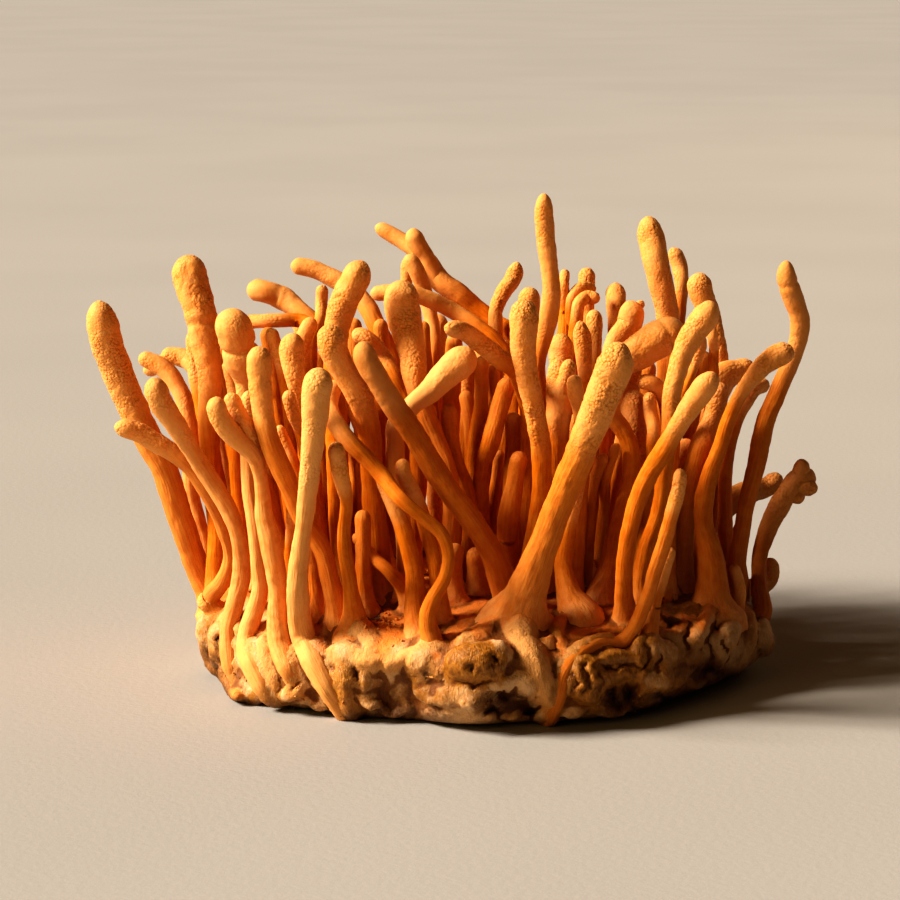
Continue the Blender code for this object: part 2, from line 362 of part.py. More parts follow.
def course(tip_depth, foot_depth, readings, order):
    """A stroma's centre line and radii, in mm, from its tip to its root in the cake."""
    flat = np.array([reading[:2] for reading in readings], dtype=float)
    along = lengths(flat)
    if foot_depth is SEEN:
        foot_depth = seen_depth(flat[-1][0], flat[-1][1])
    pins = [(0.0, tip_depth), (along[-1], foot_depth)]
    pins += [(along[k], reading[3]) for k, reading in enumerate(readings) if len(reading) > 3]
    pins.sort()
    depths = np.interp(along, [pin[0] for pin in pins], [pin[1] for pin in pins])
    share = along / along[-1]
    sway = SWAY * np.sin(2 * math.pi * (share + SWAY_STEP * order)) * np.sin(math.pi * share)
    points = [place(a, u, d) for (a, u), d in zip(flat, depths + sway)]
    radii = [reading[2] / 2 for reading in readings]
    return add_root(points, radii)


def add_root(points, radii):
    """Carry a course on down into the cake."""
    x, y, z = points[-1]
    if z - cake_height(x, y) > HIDDEN_FALL:
        x, y = HIDDEN_DRAW * x, HIDDEN_DRAW * y
    inwards = min(1.0, ROOT_REACH / max(math.hypot(x, y), 1e-6))
    x, y = x * inwards, y * inwards
    root = np.array([x, y, cake_height(x, y) - ROOT_DEPTH])
    if root[2] > z - FOOT_ROOM:
        points, radii = points[:-1], radii[:-1]
    return np.array(points + [root]), np.array(radii + [radii[-1] * ROOT_FLARE])


def rings(points, radii, tolerance=RING_TOLERANCE, spacing=RING_SPACING):
    """The same course with a ring wherever it bends or swells, the second where the tip is full width."""
    along = lengths(points)
    places = np.concatenate([[0.0], np.arange(radii[0], along[-1] - END_ROOM, STATION), [along[-1]]])
    widths = np.interp(places, along, radii)
    dense = smooth_at(points, places)
    kept = [0, 1] + thin_out(np.column_stack([dense, widths]), places, 1, len(places) - 1, tolerance, spacing)
    return dense[kept], widths[kept]


def thin_out(shape, places, low, high, tolerance, spacing):
    """The stations from low to high that a chain of straight stretches needs, without low itself."""
    share = ((places[low:high + 1] - places[low]) / (places[high] - places[low]))[:, None]
    straight = shape[low] + (shape[high] - shape[low]) * share
    off = np.linalg.norm(shape[low:high + 1] - straight, axis=1)
    worst = low + int(np.argmax(off))
    if off.max() <= tolerance:
        if places[high] - places[low] <= spacing:
            return [high]
        worst = (low + high) // 2
    if worst in (low, high):
        return [high]
    return (thin_out(shape, places, low, worst, tolerance, spacing)
            + thin_out(shape, places, worst, high, tolerance, spacing))


def upright(turn, root, lean, top, width, bend):
    """A plain stroma rooted at a distance from the middle, in a direction, leaning outwards."""
    out = np.array([math.sin(turn), math.cos(turn), 0.0])
    aside = np.array([out[1], -out[0], 0.0])
    points, radii = [], []
    for share, swell in UPRIGHT_SHAPE:
        height = np.array([0.0, 0.0, UPRIGHT_FOOT + (top - UPRIGHT_FOOT) * share])
        points.append(out * (root + lean * share ** LEAN_POWER)
                      + aside * bend * math.sin(BEND_TURN * share) + height)
        radii.append(width * swell)
    return add_root(points, radii)


def rear_courses():
    """The stromata of the far side, from a few sizes and a fixed seed."""
    chance = random.Random(REAR_SEED)
    found = {}
    for k in range(REAR_COUNT):
        stray = chance.uniform(-REAR_STRAY, REAR_STRAY)
        turn = math.radians(REAR_SPREAD * (2 * k / (REAR_COUNT - 1) - 1) + stray)
        root = chance.uniform(*REAR_ROOT) - REAR_STAGGER * (k % 2)
        lean = chance.uniform(*REAR_LEAN)
        top = chance.uniform(*REAR_HEIGHT) + REAR_TALLER * (k % 2)
        width = chance.uniform(*REAR_DIAMETER) / 2
        found["rear_%02d" % (k + 1)] = upright(turn, root, lean, top, width, chance.uniform(*REAR_BEND))
    return found


def heart_courses(others):
    """The short stromata of the bunch's heart, where the golden angle finds room between the others."""
    chance = random.Random(HEART_SEED)
    found = {}
    for k in range(HEART_TRIES):
        turn = HEART_TURN + k * GOLDEN_ANGLE
        root = HEART_REACH * math.sqrt((k + 0.5) / HEART_TRIES)
        shape = upright(turn, root, chance.uniform(*HEART_LEAN), chance.uniform(*HEART_HEIGHT),
                        chance.uniform(*HEART_DIAMETER) / 2, chance.uniform(*HEART_BEND))
        if root * math.cos(turn) > HEART_FRONT and has_room(shape[0], [*others, *found.values()]):
            found["heart_%02d" % (len(found) + 1)] = shape
    return found


def has_room(points, others):
    """Whether no other stalk comes near this one at any of the levels."""
    for level in HEART_LEVELS:
        here = spot_at(points, level)
        there = [spot_at(other, level) for other, _ in others]
        if here is not None and any(math.dist(here, spot) < HEART_ROOM for spot in there if spot is not None):
            return False
    return True


def spot_at(points, level):
    """Where a stalk passes a height, x and y, or None if it doesn't reach it."""
    for upper, lower in zip(points, points[1:]):
        if upper[2] >= level > lower[2]:
            return lower[:2] + (upper[:2] - lower[:2]) * (level - lower[2]) / (upper[2] - lower[2])
    return None


def nearest(p0, p1, q0, q1):
    """Where two sets of stretches come closest: the share along each, and the way between."""
    u, v, w = p1 - p0, q1 - q0, p0 - q0
    a, b, c = (u * u).sum(1), (u * v).sum(1), (v * v).sum(1)
    d, e = (u * w).sum(1), (v * w).sum(1)
    spread = np.maximum(a * c - b * b, 1e-9)
    s = np.clip((b * e - c * d) / spread, 0, 1)
    t = np.clip((b * s + e) / np.maximum(c, 1e-9), 0, 1)
    s = np.clip((b * t - d) / np.maximum(a, 1e-9), 0, 1)
    return s, t, w + u * s[:, None] - v * t[:, None]


def settle(stalks, groups):
    """Move stalks nearer or farther along the sight lines until each has its own room.

    groups holds a number for each stalk: two stalks with the same number may run into each other.
    The last rounds push straight apart what is still too close, by a fraction of a millimetre.
    """
    first = np.concatenate([[0], np.cumsum([len(points) for points, _ in stalks])])
    centre = np.vstack([points for points, _ in stalks])
    width = np.concatenate([np.concatenate([[TIP_SHARE * radii[0]], radii[1:]]) for _, radii in stalks])
    sight = centre - eye()
    sight /= np.linalg.norm(sight, axis=1)[:, None]
    shift = np.zeros(centre.shape)
    is_root = np.zeros(len(centre), dtype=bool)
    is_root[first[1:] - 1] = True
    heads = np.concatenate([np.arange(first[k], first[k + 1] - 1) for k in range(len(stalks))])
    owner = np.concatenate([np.full(first[k + 1] - first[k] - 1, groups[k]) for k in range(len(stalks))])
    one, two = np.triu_indices(len(heads), 1)
    apart = owner[one] != owner[two]
    one, two = one[apart], two[apart]
    for turn in range(SETTLE_ROUNDS):
        now = centre + shift
        middle = (now[heads] + now[heads + 1]) / 2
        half = np.linalg.norm(now[heads + 1] - now[heads], axis=1) / 2
        thick = np.maximum(width[heads], width[heads + 1])
        room = np.linalg.norm(middle[one] - middle[two], axis=1)
        close = room < half[one] + half[two] + thick[one] + thick[two] + SETTLE_GAP
        i, j = heads[one[close]], heads[two[close]]
        s, t, between = nearest(now[i], now[i + 1], now[j], now[j + 1])
        wanted = (width[i] * (1 - s) + width[i + 1] * s + width[j] * (1 - t) + width[j + 1] * t
                  + SETTLE_GAP)
        distance = np.linalg.norm(between, axis=1)
        tight = distance < wanted - SETTLE_SLACK
        if not tight.any():
            break
        push = between / np.maximum(distance, 1e-6)[:, None] * (0.5 * (wanted - distance))[:, None]
        if turn < SIGHT_ROUNDS:
            ray = sight[i] * (1 - s)[:, None] + sight[i + 1] * s[:, None]
            toward = (between * ray).sum(1)
            off_ray = distance ** 2 - toward ** 2
            reach = np.sqrt(np.maximum(wanted ** 2 - off_ray, 0)) - np.abs(toward)
            near_root = (is_root[i + 1] & (s > 0.5)) | (is_root[j + 1] & (t > 0.5))
            along_ray = ray * (np.where(toward >= 0, 0.5, -0.5) * reach)[:, None]
            push = np.where(near_root[:, None], push, along_ray)
        push = np.where(tight[:, None], push, 0.0)
        moved, hits = np.zeros(centre.shape), np.zeros(len(centre))
        for spots, amounts, weights in ((i, push, 1 - s), (i + 1, push, s), (j, -push, 1 - t),
                                        (j + 1, -push, t)):
            np.add.at(moved, spots, amounts * weights[:, None])
            np.add.at(hits, spots, np.where(tight, weights, 0.0))
        shift += moved / np.maximum(hits, 1.0)[:, None]
        if turn < EASE_ROUNDS:
            shift = ease(shift, first)
        keep_rooted(centre, shift, first[1:] - 1)
    settled = centre + shift
    return [settled[first[k]:first[k + 1]] for k in range(len(stalks))]


def keep_rooted(centre, shift, roots):
    """Keep each stalk's last point inside the cake, a little below its top."""
    where = centre[roots] + shift[roots]
    reach = np.hypot(where[:, 0], where[:, 1])
    where[:, :2] *= np.minimum(1.0, ROOT_REACH / np.maximum(reach, 1e-6))[:, None]
    where[:, 2] = cake_height(where[:, 0], where[:, 1]) - ROOT_DEPTH
    shift[roots] = where - centre[roots]


def ease(shift, first):
    """Share each stalk's shift out along it, so that it bends and doesn't kink."""
    eased = shift.copy()
    for low, high in zip(first, first[1:]):
        run = shift[low:high]
        padded = np.vstack([run[:1], run, run[-1:]])
        eased[low:high] = EASE_OWN * run + (1.0 - EASE_OWN) / 2 * (padded[:-2] + padded[2:])
    return eased


def is_small(name):
    """Whether a stroma is one with the cake."""
    return name in SMALL_STROMATA or name.startswith("heart_")


def grow_all():
    """Every stroma's settled centre line and radii, by name, in mm."""
    raw = {}
    for order, (name, (tip, foot, readings)) in enumerate({**STROMATA, **SMALL_STROMATA}.items()):
        raw[name] = course(tip, foot, readings, order)
    raw.update(rear_courses())
    raw.update(heart_courses(list(raw.values())))
    names = list(raw)
    for name in names:
        limits = (SMALL_TOLERANCE, SMALL_SPACING) if is_small(name) else (RING_TOLERANCE, RING_SPACING)
        raw[name] = rings(*raw[name], *limits)
    groups = [-1 if is_small(name) else k for k, name in enumerate(names)]
    settled = settle([raw[name] for name in names], groups)
    return {name: (points, raw[name][1]) for name, points in zip(names, settled)}


def fork_course(parent_points, readings):
    """A fork's centre line, at its parent's depth where the two meet."""
    joint = readings[-1]
    gaps = [np.linalg.norm(place(joint[0], joint[1], point[1]) - point) for point in parent_points]
    depth = parent_points[int(np.argmin(gaps))][1]
    points = np.array([place(a, u, depth) for a, u, _ in readings])
    radii = np.array([d / 2 for _, _, d in readings])
    return rings(points, radii)


def paint(name, colour, roughness):
    """A plain finish."""
    material = bpy.data.materials.new(name)
    material.use_nodes = True
    shader = material.node_tree.nodes["Principled BSDF"]
    shader.inputs["Base Color"].default_value = colour
    shader.inputs["Roughness"].default_value = roughness
    return material


def tube(name, points, radii, collection):
    """A stalk: a round tube along its course, with a domed tip and a flat foot."""
    tip = radii[0]
    inward = (points[1] - points[0]) / np.linalg.norm(points[1] - points[0])
    fine = 2 * max(radii) < FINE_DIAMETER or is_small(name)
    dome = FINE_DOME if fine else DOME
    stations = [(points[0] + inward * back * tip, share * tip) for back, share in dome]
    stations += list(zip(points[1:], radii[1:]))
    curve = bpy.data.curves.new(name, "CURVE")
    curve.dimensions = "3D"
    curve.bevel_depth = MM
    curve.bevel_resolution = 1 if fine else 2
    curve.use_fill_caps = True
    spline = curve.splines.new("POLY")
    spline.points.add(len(stations) - 1)
    for point, (centre, radius) in zip(spline.points, stations):
        point.co = (*(centre * MM), 1.0)
        point.radius = radius
    guide = bpy.data.objects.new(name + "_course", curve)
    bpy.context.scene.collection.objects.link(guide)
    bpy.context.view_layer.update()
    mesh = bpy.data.meshes.new_from_object(guide.evaluated_get(bpy.context.evaluated_depsgraph_get()))
    solid = bpy.data.objects.new(name, mesh)
    solid.matrix_world = guide.matrix_world
    bpy.data.objects.remove(guide)
    weld(mesh)
    collection.objects.link(solid)
    return solid


def weld(mesh):
    """Join the loose caps to their tube."""
    shape = bmesh.new()
    shape.from_mesh(mesh)
    bmesh.ops.remove_doubles(shape, verts=shape.verts, dist=WELD)
    bmesh.ops.recalc_face_normals(shape, faces=shape.faces)
    shape.to_mesh(mesh)
    shape.free()


def lump_height(point):
    """How far the cake stands out at a point of its plain surface, in mm."""
    rise = 0.0
    for degrees, height, spread, amount in CAKE_LUMPS:
        turn = math.radians(degrees)
        centre = Vector((CAKE_RADIUS * math.sin(turn), -CAKE_RADIUS * math.cos(turn), height))
        rise += amount * math.exp(-((point - centre).length / spread) ** 2)
    return rise


def lobe_reach(point):
    """How far the cake's edge stands out or in, round about a point, in mm."""
    turn = math.atan2(point.x, -point.y)
    return sum(amount * math.sin(number * turn + start) for number, amount, start in CAKE_LOBES)


def wave_height(point):
    """How far the cake's top rolls up or down at a point, in mm."""
    across, deep = CAKE_WAVE_PITCH
    roll = math.sin(across * point.x + CAKE_WAVE_START[0]) * math.cos(deep * point.y + CAKE_WAVE_START[1])
    return CAKE_WAVE * roll * min(1.0, point.z / CAKE_WAVE_HEIGHT)


def cake_mesh(grow):
    """The cake: a turned profile, swollen by its lumps; grow is how far the skin is moved out."""
    profile = bpy.data.meshes.new("cake_profile")
    shape = bmesh.new()
    corners = [shape.verts.new((reach * MM, 0.0, height * MM)) for reach, height in CAKE_PROFILE]
    for low, high in zip(corners, corners[1:]):
        shape.edges.new((low, high))
    shape.to_mesh(profile)
    shape.free()
    turned = bpy.data.objects.new("cake_profile", profile)
    bpy.context.scene.collection.objects.link(turned)
    screw = turned.modifiers.new("turn", "SCREW")
    screw.steps = CAKE_SIDES
    screw.render_steps = CAKE_SIDES
    screw.use_merge_vertices = True
    screw.merge_threshold = WELD
    bpy.context.view_layer.update()
    mesh = bpy.data.meshes.new_from_object(turned.evaluated_get(bpy.context.evaluated_depsgraph_get()))
    bpy.data.objects.remove(turned)
    shape = bmesh.new()
    shape.from_mesh(mesh)
    bmesh.ops.remove_doubles(shape, verts=shape.verts, dist=WELD)
    bmesh.ops.recalc_face_normals(shape, faces=shape.faces)
    shape.normal_update()
    outward = {vert.index: vert.normal.copy() for vert in shape.verts}
    for vert in shape.verts:
        plain = vert.co / MM
        level = Vector((plain.x, plain.y, 0)).normalized()
        swell = lump_height(plain)
        edge = min(1.0, math.hypot(plain.x, plain.y) / CAKE_RADIUS) ** CAKE_EDGE_POWER
        vert.co += level * lobe_reach(plain) * edge * MM
        if plain.z < GAP:
            vert.co += level * swell * edge * MM
            vert.co.z = -grow * MM
        else:
            vert.co += outward[vert.index] * (swell + grow + wave_height(plain)) * MM
    shape.to_mesh(mesh)
    shape.free()
    return mesh


def hide(solid):
    """Mark a cutter or a guide, which is no piece of its own."""
    solid.hide_render = True
    solid.display_type = "WIRE"


def boolean(solid, operation, other):
    """Join or cut by another solid, or by every solid of a collection."""
    change = solid.modifiers.new(operation.lower(), "BOOLEAN")
    change.operation = operation
    if isinstance(other, bpy.types.Collection):
        change.operand_type = "COLLECTION"
        change.collection = other
    else:
        change.object = other


def clear_slivers(solid):
    """Join the corners that the Booleans have left almost on each other, and smooth the shading."""
    weld_close = solid.modifiers.new("slivers", "WELD")
    weld_close.merge_threshold = SLIVER
    solid.data.shade_smooth()


def main():
    for old in list(bpy.data.objects):
        bpy.data.objects.remove(old)
    bunch = bpy.data.collections.new("cordyceps_bunch")
    tools = bpy.data.collections.new("cutters")
    grown = bpy.data.collections.new("small_stromata")
    for collection in (bunch, tools, grown):
        bpy.context.scene.collection.children.link(collection)
    stalks = grow_all()

    skin = bpy.data.objects.new("cake_skin", cake_mesh(GAP))
    tools.objects.link(skin)
    hide(skin)
    cake = bpy.data.objects.new("mycelium_base", cake_mesh(0.0))
    bunch.objects.link(cake)
    cake.data.materials.clear()
    cake.data.materials.append(paint("mycelium_cream", CREAM, CREAM_ROUGHNESS))

    for name, (points, radii) in stalks.items():
        if is_small(name):
            hide(tube(name, points, radii, grown))
            continue
        stroma = tube(name, points, radii, bunch)
        stroma.name = "stroma_" + name
        stroma.data.materials.clear()
        stroma.data.materials.append(paint("flesh_" + name, ORANGE, ORANGE_ROUGHNESS))
        if name in FORKS:
            arm = tube(name + "_fork", *fork_course(points, FORKS[name]), tools)
            hide(arm)
            boolean(stroma, "UNION", arm)
        boolean(stroma, "DIFFERENCE", skin)
        clear_slivers(stroma)
    boolean(cake, "UNION", grown)
    clear_slivers(cake)


main()
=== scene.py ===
"""Cordyceps bunch: the looks of some 130 fruiting bodies (stromata) and the mycelium they grew from.

Laid out as an add-on and run as a script. The frame is +Z up, the origin at the centre of the flat
underside, -Y towards the viewer. Tables are in millimetres: a stroma's course is (across, up, diameter)
from its tip down, as read on the upright plane through the middle of the bunch, and its depth behind
that plane is given apart.
"""

import math
import random

import bmesh
import bpy
import numpy as np
from bpy.props import FloatProperty, FloatVectorProperty, IntProperty, PointerProperty
from mathutils import Matrix, Vector
from mathutils.kdtree import KDTree


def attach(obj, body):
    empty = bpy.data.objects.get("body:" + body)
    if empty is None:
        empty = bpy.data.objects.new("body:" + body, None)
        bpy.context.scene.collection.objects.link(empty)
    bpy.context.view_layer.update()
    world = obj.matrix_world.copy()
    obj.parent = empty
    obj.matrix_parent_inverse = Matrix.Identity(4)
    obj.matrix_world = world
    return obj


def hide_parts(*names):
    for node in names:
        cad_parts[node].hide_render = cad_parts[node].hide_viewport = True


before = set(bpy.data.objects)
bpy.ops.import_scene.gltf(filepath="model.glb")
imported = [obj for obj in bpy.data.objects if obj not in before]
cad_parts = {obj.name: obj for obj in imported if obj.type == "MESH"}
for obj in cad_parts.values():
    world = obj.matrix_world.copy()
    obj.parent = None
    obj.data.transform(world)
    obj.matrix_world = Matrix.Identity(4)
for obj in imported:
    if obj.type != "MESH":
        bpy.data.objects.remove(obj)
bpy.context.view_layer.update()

bl_info = {
    "name": "Cordyceps Bunch",
    "version": (1, 0, 0),
    "blender": (4, 5, 0),
    "location": "3D View > Sidebar > Cordyceps",
    "description": "Builds a bunch of cordyceps on its mycelium base around its packed solids",
    "category": "Add Mesh",
}

MM = 0.001  # metres in a millimetre
PER_MM = (1 / MM, 1 / MM, 1 / MM)
BODY = "root"

GAP = 0.30  # mm of air between two solids that touch

# Settling, which gives each stalk its own room
SETTLE_GAP = 0.42  # mm that it keeps between two stalks' round surfaces
SETTLE_SLACK = 0.02  # mm that may still be wanting
SETTLE_ROUNDS = 320
SIGHT_ROUNDS = 192  # the rounds that move stalks along the sight lines alone
EASE_ROUNDS = 160  # the rounds that share a shift out along its stalk
EASE_OWN = 0.6  # the share of a point's shift that stays its own
TIP_SHARE = 0.4  # a domed tip's room, as a share of its radius

# The view that the courses were read in
SIGHT_TARGET = np.array([-3.75, 0.0, 29.0])
SIGHT_DISTANCE = 420.0
SIGHT_RISE = math.radians(10.0)
SIGHT_STEP = 0.25  # mm between two tries at where a sight line meets the cake
SWAY = 1.1  # mm that a stalk winds to and from the viewer
SWAY_STEP = 0.618  # turns by which one stalk's winding differs from the next one's

# The cake of mycelium
CAKE_RADIUS = 36.2
CAKE_CROWN = 13.0
CAKE_RIM = 5.0  # height of the cake's widest place
CAKE_PROFILE = [
    (0.0, 13.0), (12.0, 13.3), (22.0, 12.9), (28.0, 12.2), (32.4, 10.7), (35.2, 8.4), (36.2, 5.6),
    (35.7, 2.6), (33.9, 0.8), (31.5, 0.0), (16.0, 0.0), (0.0, 0.0),
]
CAKE_LOBES = [(5, 0.8, 0.6), (9, 0.6, 2.0)]  # number round the edge, mm out and in, start
CAKE_EDGE_POWER = 6  # how fast the lobes die away towards the middle
CAKE_WAVE = 0.45  # mm that the top rolls up and down
CAKE_WAVE_PITCH = (0.31, 0.27)  # radians a mm, across and deep
CAKE_WAVE_START = (1.0, 0.4)
CAKE_WAVE_HEIGHT = 10.0  # the waves have their full height this far above the floor
# Lumps on the cake: degrees round from the front, height, spread, how far it stands out
CAKE_LUMPS = [
    (-64, 8.0, 5.0, 1.3), (-46, 5.0, 5.5, 1.5), (-25, 5.0, 5.0, 1.6), (-19, 10.0, 4.5, 1.5),
    (-2, 8.0, 5.5, 2.2), (8, 9.5, 4.5, 1.8), (23, 5.5, 5.0, 1.6), (36, 5.0, 4.5, 1.3), (58, 7.5, 5.5, 1.7),
    (80, 6.0, 6.0, 1.2), (104, 7.0, 6.0, 1.6), (131, 5.0, 6.5, 1.4), (157, 7.5, 6.0, 1.7),
    (181, 5.5, 6.0, 1.3), (206, 7.5, 6.5, 1.6), (232, 5.5, 6.0, 1.4), (258, 7.0, 6.0, 1.5),
    (-84, 5.5, 5.5, 1.2),
]

ROOT_DEPTH = 2.2  # how far a stalk reaches down into the cake
ROOT_REACH = 34.3  # the furthest from the middle that a stalk is rooted
ROOT_FLARE = 1.25
HIDDEN_FALL = 6.0  # mm: a foot that is higher than this goes on down, out of sight
HIDDEN_DRAW = 0.93  # and is rooted this much nearer the middle
FOOT_ROOM = 1.0  # mm between the last reading and the root, at least
STATION = 1.0  # mm between the places that a ring may be at
END_ROOM = 0.6  # mm that the last of them is from the root, at least
RING_TOLERANCE = 0.5  # mm that a stretch between two rings may leave the smooth course
RING_SPACING = 14.0  # mm between two rings, at most
SMALL_TOLERANCE = 1.3  # the same two for the small ones that are one with the cake
SMALL_SPACING = 30.0
SEEN = None  # foot depth: where the sight line meets the cake

